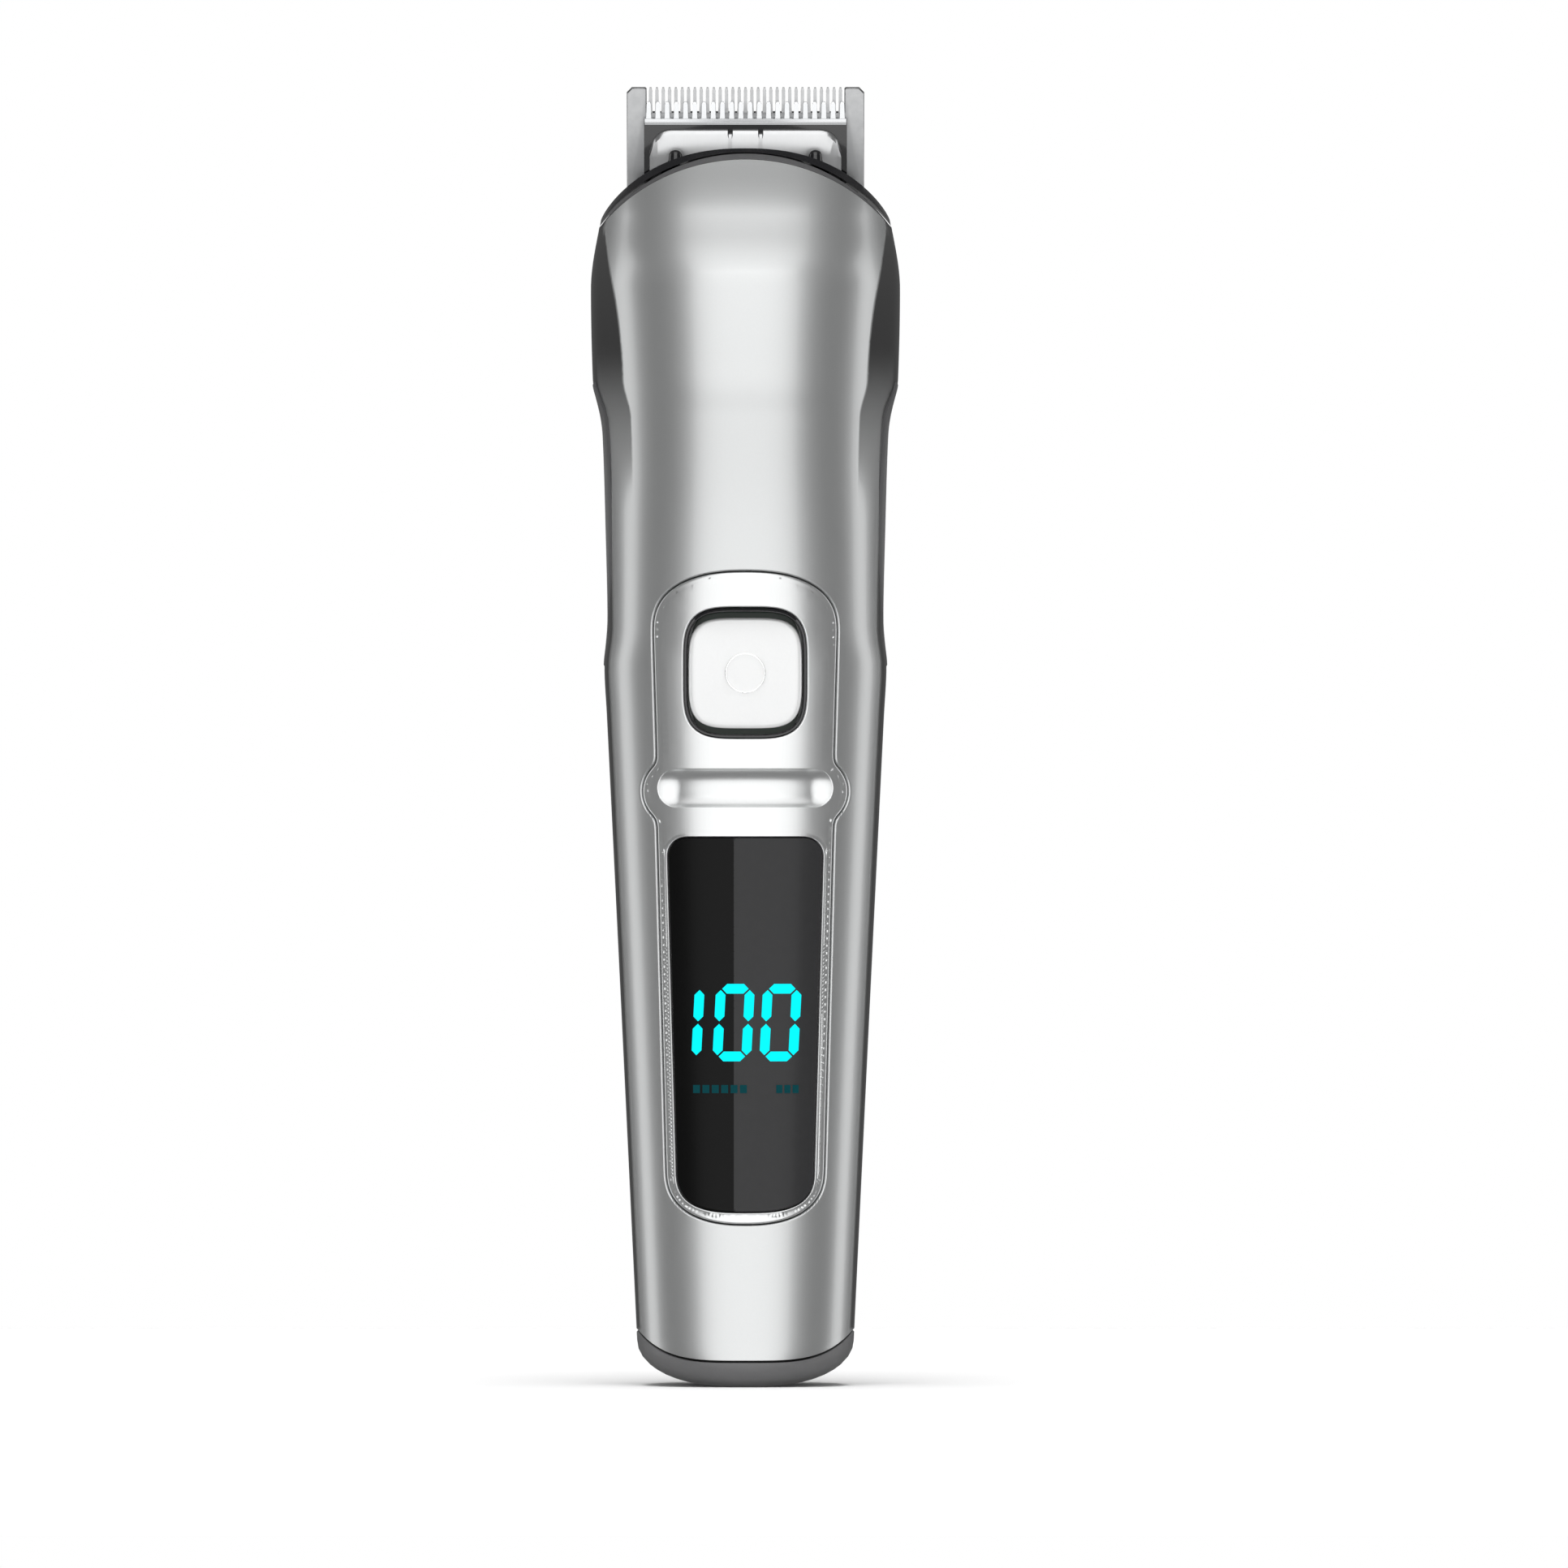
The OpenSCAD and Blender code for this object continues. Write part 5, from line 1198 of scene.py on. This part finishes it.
def grip_lens():
    """Outline of a side grip seen from the side: two arcs that meet in points, leaning back a little."""
    low, high = limits("side_grip_right")
    radius, slant, middle_y = 30.0, math.radians(8), -1.0
    middle_z, half = (low[2] + high[2]) / 2, (high[2] - low[2]) / 2 - 0.1
    spread = math.asin(half / radius / 1.01)
    turns = np.linspace(-spread, spread, 40)
    bulge, rise = radius * (np.cos(turns) - math.cos(spread)), radius * np.sin(turns)
    y, z = np.vstack([np.c_[bulge, rise], np.c_[-bulge[::-1], rise[::-1]][1:-1]]).T
    leaning = np.c_[y * math.cos(slant) - z * math.sin(slant), y * math.sin(slant) + z * math.cos(slant)]
    return leaning + [middle_y, middle_z]


def blade_place(points):
    """From the blades' own frame (tips at height 0, back face at depth 0) into the body's."""
    lean = math.radians(blade_sizes().lean)
    points = np.asarray(points, float)
    y = points[:, 1] * math.cos(lean) - points[:, 2] * math.sin(lean)
    z = points[:, 1] * math.sin(lean) + points[:, 2] * math.cos(lean)
    return np.c_[points[:, 0], y + 3.0, z + TOP]


def comb_plate(outline, front, back, teeth, span, high, slot, gap, tip):
    """A toothed blade: a bevelled plate, and teeth that narrow and thin out towards their tips."""
    pitch = span / teeth
    half = (pitch - gap) / 2
    root = high - slot
    parts = [prism(outline, 0, back - front, lambda q: blade_place(np.c_[q[:, 0], back - q[:, 2], q[:, 1]]))]
    # each stage of a tooth: its height, its share of the full width, and how far its faces are thinned
    stages = ((root - 0.05, 1.12, 0.03), (root + 0.45, 1.0, 0.05), (high - tip, 0.92, 0.12), (high, 0.5, 0.32))
    for i in range(teeth):
        x = (i + 0.5) * pitch - span / 2
        rows = []
        for z, wide, thin in stages:
            left, right, near, far = x - half * wide, x + half * wide, front + thin, back - thin
            rows.append(np.array([[left, near, z], [right, near, z], [right, far, z], [left, far, z]]))
        points, faces = loft_rows(rows, True, True)
        parts.append((blade_place(points), faces))
    return parts


BLADE_CORNER_X = 12.2


def fixed_outline(half, low, root, span):
    """Plate of the fixed blade: solid flanks, and lower corners that keep clear of the casing's arch."""
    inner, notch = span / 2 + 0.1, 0.64
    x = np.linspace(half, BLADE_CORNER_X, 10)
    arch = (RIM_ARCH(x) + 0.5 - TOP) / math.cos(math.radians(blade_sizes().lean))
    right = [[inner, root], [inner, -0.15], [inner + 0.15, 0], [half - notch, 0], [half, -notch]]
    right += [[a, b] for a, b in zip(x, np.maximum(arch, low))] + [[BLADE_CORNER_X, low]]
    right = np.array(right)
    return np.vstack([right, right[::-1] * [-1, 1]])


def make_blades():
    b = blade_sizes()
    thick, span, slot, foot = 1.2, 24.2, 3.0, -13.3
    outline = fixed_outline(limits("fixed_blade")[1][0], foot, -slot, span)
    points, faces = join(comb_plate(outline, -thick, 0.0, b.fixed_teeth, span, 0.0, slot, 0.34, 0.5))
    fixed = new_object("comb_blade", points, faces, finish_of("blade_steel"))
    finish_piece(fixed, "head", "blade_steel", "fixed_blade")

    low, high = limits("moving_blade")
    half, slot, foot, front, back = (high[0] - low[0]) / 2, 2.0, -11, -2.12, -1.22
    root = -b.setback - slot
    outline = np.array([[-half, root], [-half, foot], [half, foot], [half, root]])
    teeth = comb_plate(outline, front, back, b.moving_teeth, 2 * half, -b.setback, slot, 0.57, 0.3)
    points, faces = join(teeth)
    moving = new_object("cutting_blade", points, faces, finish_of("cutter_steel"))
    finish_piece(moving, "cutter", "cutter_steel", "moving_blade")


def make_cover_plate():
    """Bright plate over the cutter frame: chamfered along its top edge, with two small notches."""
    top, corner, chamfer = -4.85, 2.7, 0.6
    front, back, crease, lower_set, bevel = -4.27, -3.27, -7.9, 0.12, 0.12
    notch_low, notch_high, notch_slope, notch_depth = 1.55, 2.2, 0.15, 0.45
    low_corner, high_corner = limits("cover_plate")
    half = high_corner[0]
    foot = (low_corner[2] - TOP) / math.cos(math.radians(blade_sizes().lean)) + 0.8
    rounding = np.r_[np.linspace(half - corner, half, 7), half - 0.8]
    notch = [notch_low, notch_low + notch_slope, notch_high - notch_slope, notch_high]
    rows = []
    for x in sorted(set(np.round(np.r_[-rounding, rounding, np.negative(notch), notch], 4))):
        into = max(0.0, abs(x) - (half - corner))
        fall = corner - math.sqrt(max(0.0, corner**2 - into**2))
        in_notch = notch_low + 0.05 < abs(x) < notch_high - 0.05
        high = top - fall - (notch_depth if in_notch else 0.0)
        rows.append(np.array([
            [x, back, foot], [x, front + lower_set + bevel, foot], [x, front + lower_set, foot + bevel],
            [x, front + 0.02, crease - 0.35], [x, front, min(crease, high - chamfer - 0.1)],
            [x, front, high - chamfer], [x, front + 0.35, high - 0.05],
            [x, front + 0.5, high], [x, back, high],
        ]))
    points, faces = loft_rows(rows, True, True)
    plate = new_object("bright_plate", blade_place(points), faces, finish_of("cover_steel"))
    orient(plate)
    finish_piece(plate, "head", "blade_steel", "cover_plate")


def make_grips():
    """Lens of soft plastic let into each side of the casing."""
    body = Profile(body_sizes())
    lens = resample(grip_lens(), 0.6)
    for sign, side in ((1, "right"), (-1, "left")):
        rows = []
        for shrink, inset in ((0.0, 1.1), (0.0, 0.12), (0.12, 0.0), (0.4, -0.12)):
            ring = offset(lens, -shrink) if shrink else anticlockwise(lens)
            rows.append(grip_row(body, ring, inset, sign))
        middle = lens.mean(axis=0)
        for share in (0.8, 0.6, 0.4, 0.2, 0.04):
            ring = middle + (offset(lens, -0.4) - middle) * share
            rows.append(grip_row(body, ring, -0.12, sign))
        points, faces = loft_rows(rows, True, True)
        obj = new_object(f"grip_{side}", points, faces, finish_of("grip"))
        orient(obj)
        finish_piece(obj, "handle", "grip", f"side_grip_{side}")


def grip_row(body, ring, inset, sign):
    """Points of the body's side, from places in y and z."""
    y, z = ring[:, 0], ring[:, 1]
    half = body.half(z) - inset
    depth = np.where(y < 0, body.front(z), body.back(z)) - inset
    power = np.where(y < 0, FRONT_POWER, BACK_POWER)
    x = half * np.maximum(0, 1 - np.minimum(0.999, np.abs(y) / depth) ** power) ** (1 / power)
    return np.c_[sign * x, y, z]


def arch_band(body, lift, arch, inset, turns):
    """A ring round the body whose height follows an arch in x."""
    rows = []
    for side, angles in (("front", turns), ("back", turns[::-1][1:-1])):
        z = np.full(len(angles), CORNER_Z)
        for _ in range(6):
            x = body.point(side, angles, z, 0.0)[:, 0]
            z = (z + arch(x)) / 2
        z = arch(body.point(side, angles, z, 0.0)[:, 0]) + lift
        rows.append(body.point(side, angles, z, inset))
    return np.vstack(rows)


def make_rim():
    """Dark band between the casing's arch and the head."""
    body = Profile(body_sizes())
    turns = np.linspace(-90, 90, 81)
    thick = 2.0
    rows = [
        arch_band(body, 0.05, SHELL_ARCH, 0.0, turns), arch_band(body, -0.1, RIM_ARCH, 0.0, turns),
        arch_band(body, 0.0, RIM_ARCH, 0.1, turns), arch_band(body, 0.0, RIM_ARCH, thick, turns),
        arch_band(body, 0.05, SHELL_ARCH, thick, turns),
    ]
    points, faces = ring_sweep(rows)
    band = new_object("rim_band", points, faces, finish_of("rim_grey"))
    orient(band)
    finish_piece(band, "handle", "rim_grey", "nose_rim")


def collar_height(x):
    """Top of the head collar: a superellipse arch."""
    reach, corner, crown, power = CORNER_X + 0.1, TOP - 16.7, TOP - 8, 2.35
    share = np.minimum(1, np.abs(x) / reach)
    return corner + (crown - corner) * (1 - share**power) ** 0.8


def rounded_box(half_x, y_low, y_high, r, z):
    """Ring of a rounded rectangle, anticlockwise."""
    rings = []
    corners = ((half_x, y_low, -90), (half_x, y_high, 0), (-half_x, y_high, 90), (-half_x, y_low, 180))
    for x, y, start in corners:
        turns = np.radians(np.linspace(start, start + 90, 7))
        middle_x, middle_y = x - math.copysign(r, x), y - math.copysign(r, y)
        rings.append(np.c_[middle_x + r * np.cos(turns), middle_y + r * np.sin(turns), np.full(7, z)])
    return np.vstack(rings)


def comb_catch(side):
    """A small domed post that a guide comb clips over."""
    x, y, r, foot, top = side * 8.6, -3.0, 0.85, TOP - 11, TOP - 7.9
    turns = np.linspace(0, 2 * math.pi, 24, endpoint=False)
    stages = [(foot, 1.9), (top - 1.9, 1.15), (top - 1.3, 0.9)]
    stages += [(top - r + r * math.sin(a), r * math.cos(a)) for a in np.linspace(0, 1.45, 6)]
    rows = [np.c_[x + own * np.cos(turns), y + own * np.sin(turns), np.full(24, z)] for z, own in stages]
    return loft_rows(rows, True, True)


def collar_plate(body):
    """Arched plate over the whole head, with a stepped slot for the blades."""
    ring = anticlockwise(arch_band(body, 0.0, collar_height, 0.05, np.linspace(-90, 90, 91))[:, :2])
    narrow, wide, near, far, step_y = 13.6, 14.8, -0.3, 5.35, 2.7
    right = np.array([[narrow, near], [narrow, step_y], [wide, step_y], [wide, far]])
    slot = anticlockwise(resample(np.vstack([right, right[::-1] * [-1, 1]]), 0.6))
    inner = grid_points(ring, [(ring, 0.3), (slot, 0.3)], (0.7, 0.8), np.zeros((0, 2)))
    edges = loop_edges(0, len(ring)) + loop_edges(len(ring), len(slot))
    flat, triangles = triangulate([*ring, *slot, *inner], edges, ring, [slot])
    x, y = flat.T
    top = collar_height(x)
    low = np.minimum(top - 0.1, RIM_ARCH(x) + 0.15)
    grow = np.where(y < 0, body.front(low) / body.front(top), body.back(low) / body.back(top))
    points = np.vstack([np.c_[x, y, top], np.c_[x * body.half(low) / body.half(top), y * grow, low]])
    return points, plate_faces(triangles, len(flat))


def collar_plug():
    """Square tube below the collar that the body holds the head by."""
    low, half_x, front, back, wall = TOP - 22.5, 9.6, -6, 7, 1.4
    outer = rounded_box(half_x, front, back, 2, low)
    inner = rounded_box(half_x - wall, front + wall, back - wall, 0.8, low)
    outer_top, inner_top = (np.c_[ring[:, :2], RIM_ARCH(ring[:, 0]) + 0.3] for ring in (outer, inner))
    return ring_sweep([outer, outer_top, inner_top, inner])


def make_collar():
    """Black roof of the head: its plate, the plug below it and two comb catches."""
    points, faces = join([collar_plate(Profile(body_sizes())), collar_plug(), comb_catch(-1), comb_catch(1)])
    collar = new_object("collar", points, faces, finish_of("black_gloss"))
    orient(collar)
    finish_piece(collar, "head", "black_gloss", "head_collar")


# -------------------------------------------------------------------------------- frame pieces kept


def dress_frame_nodes():
    """Gives every frame node that stays visible the finish of its slot."""
    slots = bpy.context.scene["finishes"]
    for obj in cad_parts.values():
        for place in obj.material_slots:
            slot = place.material.name.split(".")[0] if place.material else ""
            if slot in slots:
                place.material = finish_of(slot)


# -------------------------------------------------------------------------------- stage


def area_light(name, place, target, size, power, glossy=True):
    light = bpy.data.lights.new(name, "AREA")
    light.shape = "RECTANGLE"
    light.size, light.size_y = size
    light.energy = power
    obj = bpy.data.objects.new(name, light)
    bpy.context.scene.collection.objects.link(obj)
    obj.location = place
    obj.rotation_euler = (Vector(target) - Vector(place)).to_track_quat("-Z", "Y").to_euler()
    obj.visible_camera = False
    obj.visible_glossy = glossy


CAMERA_X, CAMERA_Z, CAMERA_FAR = 0.00475, 0.074, 2.5
FRAME_WIDTH = 0.1932   # width seen at the trimmer, in metres


def make_stage():
    scene = bpy.context.scene
    camera = bpy.data.cameras.new("camera")
    camera.sensor_width = 36
    camera.lens = camera.sensor_width * CAMERA_FAR / FRAME_WIDTH
    obj = bpy.data.objects.new("camera", camera)
    scene.collection.objects.link(obj)
    obj.location = (CAMERA_X, -CAMERA_FAR, CAMERA_Z)
    obj.rotation_euler = (math.radians(90), 0, 0)
    scene.camera = obj

    world = bpy.data.worlds.new("studio")
    world.use_nodes = True
    tree = world.node_tree
    background = tree.nodes["Background"]
    seen = node(tree, "LightPath").outputs["Is Camera Ray"]
    shade = mix_colour(tree, seen, (0.14, 0.14, 0.14, 1), (1, 1, 1, 1))
    tree.links.new(shade, background.inputs["Color"])
    scene.world = world
    scene.view_settings.view_transform = "Standard"

    middle = (0, 0, 0.08)
    area_light("front_soft", (0, -1.3, 0.0), (0, 0, 0), (1.35, 2.1), 12.5)
    area_light("left_strip", (-0.97, 0.24, 0.1), middle, (0.46, 1.2), 1.9)
    area_light("right_strip", (0.97, 0.24, 0.1), middle, (0.46, 1.2), 1.9)
    area_light("front_high", (0, -0.72, 1.08), middle, (1.1, 0.9), 4)
    area_light("top_soft", (0, -0.1, 1.2), (0, -0.1, 0), (0.8, 0.8), 16, glossy=False)
    area_light("back_soft", (0, 1.4, 0.5), middle, (1.2, 1.0), 4, glossy=False)

    half, near, far, level = 450, -500, 260, -0.02
    corners = [(-half, near, level), (half, near, level), (half, far, level), (-half, far, level)]
    floor = new_object("floor", corners, [(0, 1, 2, 3)],
                       finish("Pale floor", (0.86, 0.86, 0.86), 0.7, grain=0.02, dust=0.0))
    floor.visible_glossy = False
    floor.visible_shadow = False


# -------------------------------------------------------------------------------- add-on


def store_finishes():
    make_groups()
    made = make_materials()
    bpy.context.scene["finishes"] = {slot: material.name for slot, material in made.items()}
    dress_frame_nodes()


class TRIMMER_OT_finishes(bpy.types.Operator):
    """Makes the materials and gives them to the frame's own pieces"""

    bl_idname = "trimmer.finishes"
    bl_label = "Finishes"

    def execute(self, context):
        store_finishes()
        return {"FINISHED"}


class TRIMMER_OT_casing(bpy.types.Operator):
    """Builds the front and back halves of the casing"""

    bl_idname = "trimmer.casing"
    bl_label = "Casing"

    def execute(self, context):
        make_front_cover()
        make_rear_cover()
        make_screw_bosses()
        return {"FINISHED"}


class TRIMMER_OT_panel(bpy.types.Operator):
    """Builds the control panel, its well and its window"""

    bl_idname = "trimmer.panel"
    bl_label = "Panel"

    def execute(self, context):
        make_panel()
        make_window()
        make_button_surround()
        return {"FINISHED"}


class TRIMMER_OT_button(bpy.types.Operator):
    """Builds the power button and the ring on it"""

    bl_idname = "trimmer.button"
    bl_label = "Button"

    def execute(self, context):
        make_button()
        return {"FINISHED"}


class TRIMMER_OT_display(bpy.types.Operator):
    """Builds the lit digits and the marks below them"""

    bl_idname = "trimmer.display"
    bl_label = "Display"

    def execute(self, context):
        make_digits()
        make_display_marks()
        return {"FINISHED"}


class TRIMMER_OT_cap(bpy.types.Operator):
    """Builds the end cap with its charging opening"""

    bl_idname = "trimmer.cap"
    bl_label = "End cap"

    def execute(self, context):
        make_cap()
        return {"FINISHED"}


class TRIMMER_OT_grips(bpy.types.Operator):
    """Builds the two side grips"""

    bl_idname = "trimmer.grips"
    bl_label = "Grips"

    def execute(self, context):
        make_grips()
        return {"FINISHED"}


class TRIMMER_OT_rim(bpy.types.Operator):
    """Builds the band under the head and the head's collar"""

    bl_idname = "trimmer.rim"
    bl_label = "Rim"

    def execute(self, context):
        make_rim()
        make_collar()
        return {"FINISHED"}


class TRIMMER_OT_blades(bpy.types.Operator):
    """Builds the fixed blade, the moving blade and the cover plate"""

    bl_idname = "trimmer.blades"
    bl_label = "Blades"

    def execute(self, context):
        make_blades()
        make_cover_plate()
        return {"FINISHED"}


class TRIMMER_OT_stage(bpy.types.Operator):
    """Sets up the floor, the lights and the camera"""

    bl_idname = "trimmer.stage"
    bl_label = "Stage"

    def execute(self, context):
        make_stage()
        return {"FINISHED"}


OPERATORS = (
    TRIMMER_OT_finishes,
    TRIMMER_OT_casing,
    TRIMMER_OT_panel,
    TRIMMER_OT_button,
    TRIMMER_OT_display,
    TRIMMER_OT_cap,
    TRIMMER_OT_grips,
    TRIMMER_OT_rim,
    TRIMMER_OT_blades,
    TRIMMER_OT_stage,
)


class TRIMMER_PT_panel(bpy.types.Panel):
    """Lists the trimmer's operators in the sidebar"""

    bl_label = "Trimmer"
    bl_space_type = "VIEW_3D"
    bl_region_type = "UI"
    bl_category = "Trimmer"

    def draw(self, context):
        for kind in OPERATORS:
            self.layout.operator(kind.bl_idname)


CLASSES = (TrimmerBody, TrimmerPanel, TrimmerBlades, *OPERATORS, TRIMMER_PT_panel)


def register():
    for kind in CLASSES:
        bpy.utils.register_class(kind)
    bpy.types.Scene.trimmer_body = PointerProperty(type=TrimmerBody)
    bpy.types.Scene.trimmer_panel = PointerProperty(type=TrimmerPanel)
    bpy.types.Scene.trimmer_blades = PointerProperty(type=TrimmerBlades)


def unregister():
    del bpy.types.Scene.trimmer_blades, bpy.types.Scene.trimmer_panel, bpy.types.Scene.trimmer_body
    for kind in reversed(CLASSES):
        bpy.utils.unregister_class(kind)


def main():
    register()
    for kind in OPERATORS:
        group, name = kind.bl_idname.split(".")
        if "FINISHED" not in getattr(getattr(bpy.ops, group), name)():
            raise RuntimeError(f"{kind.bl_label} was not built")


if __name__ == "__main__":
    main()
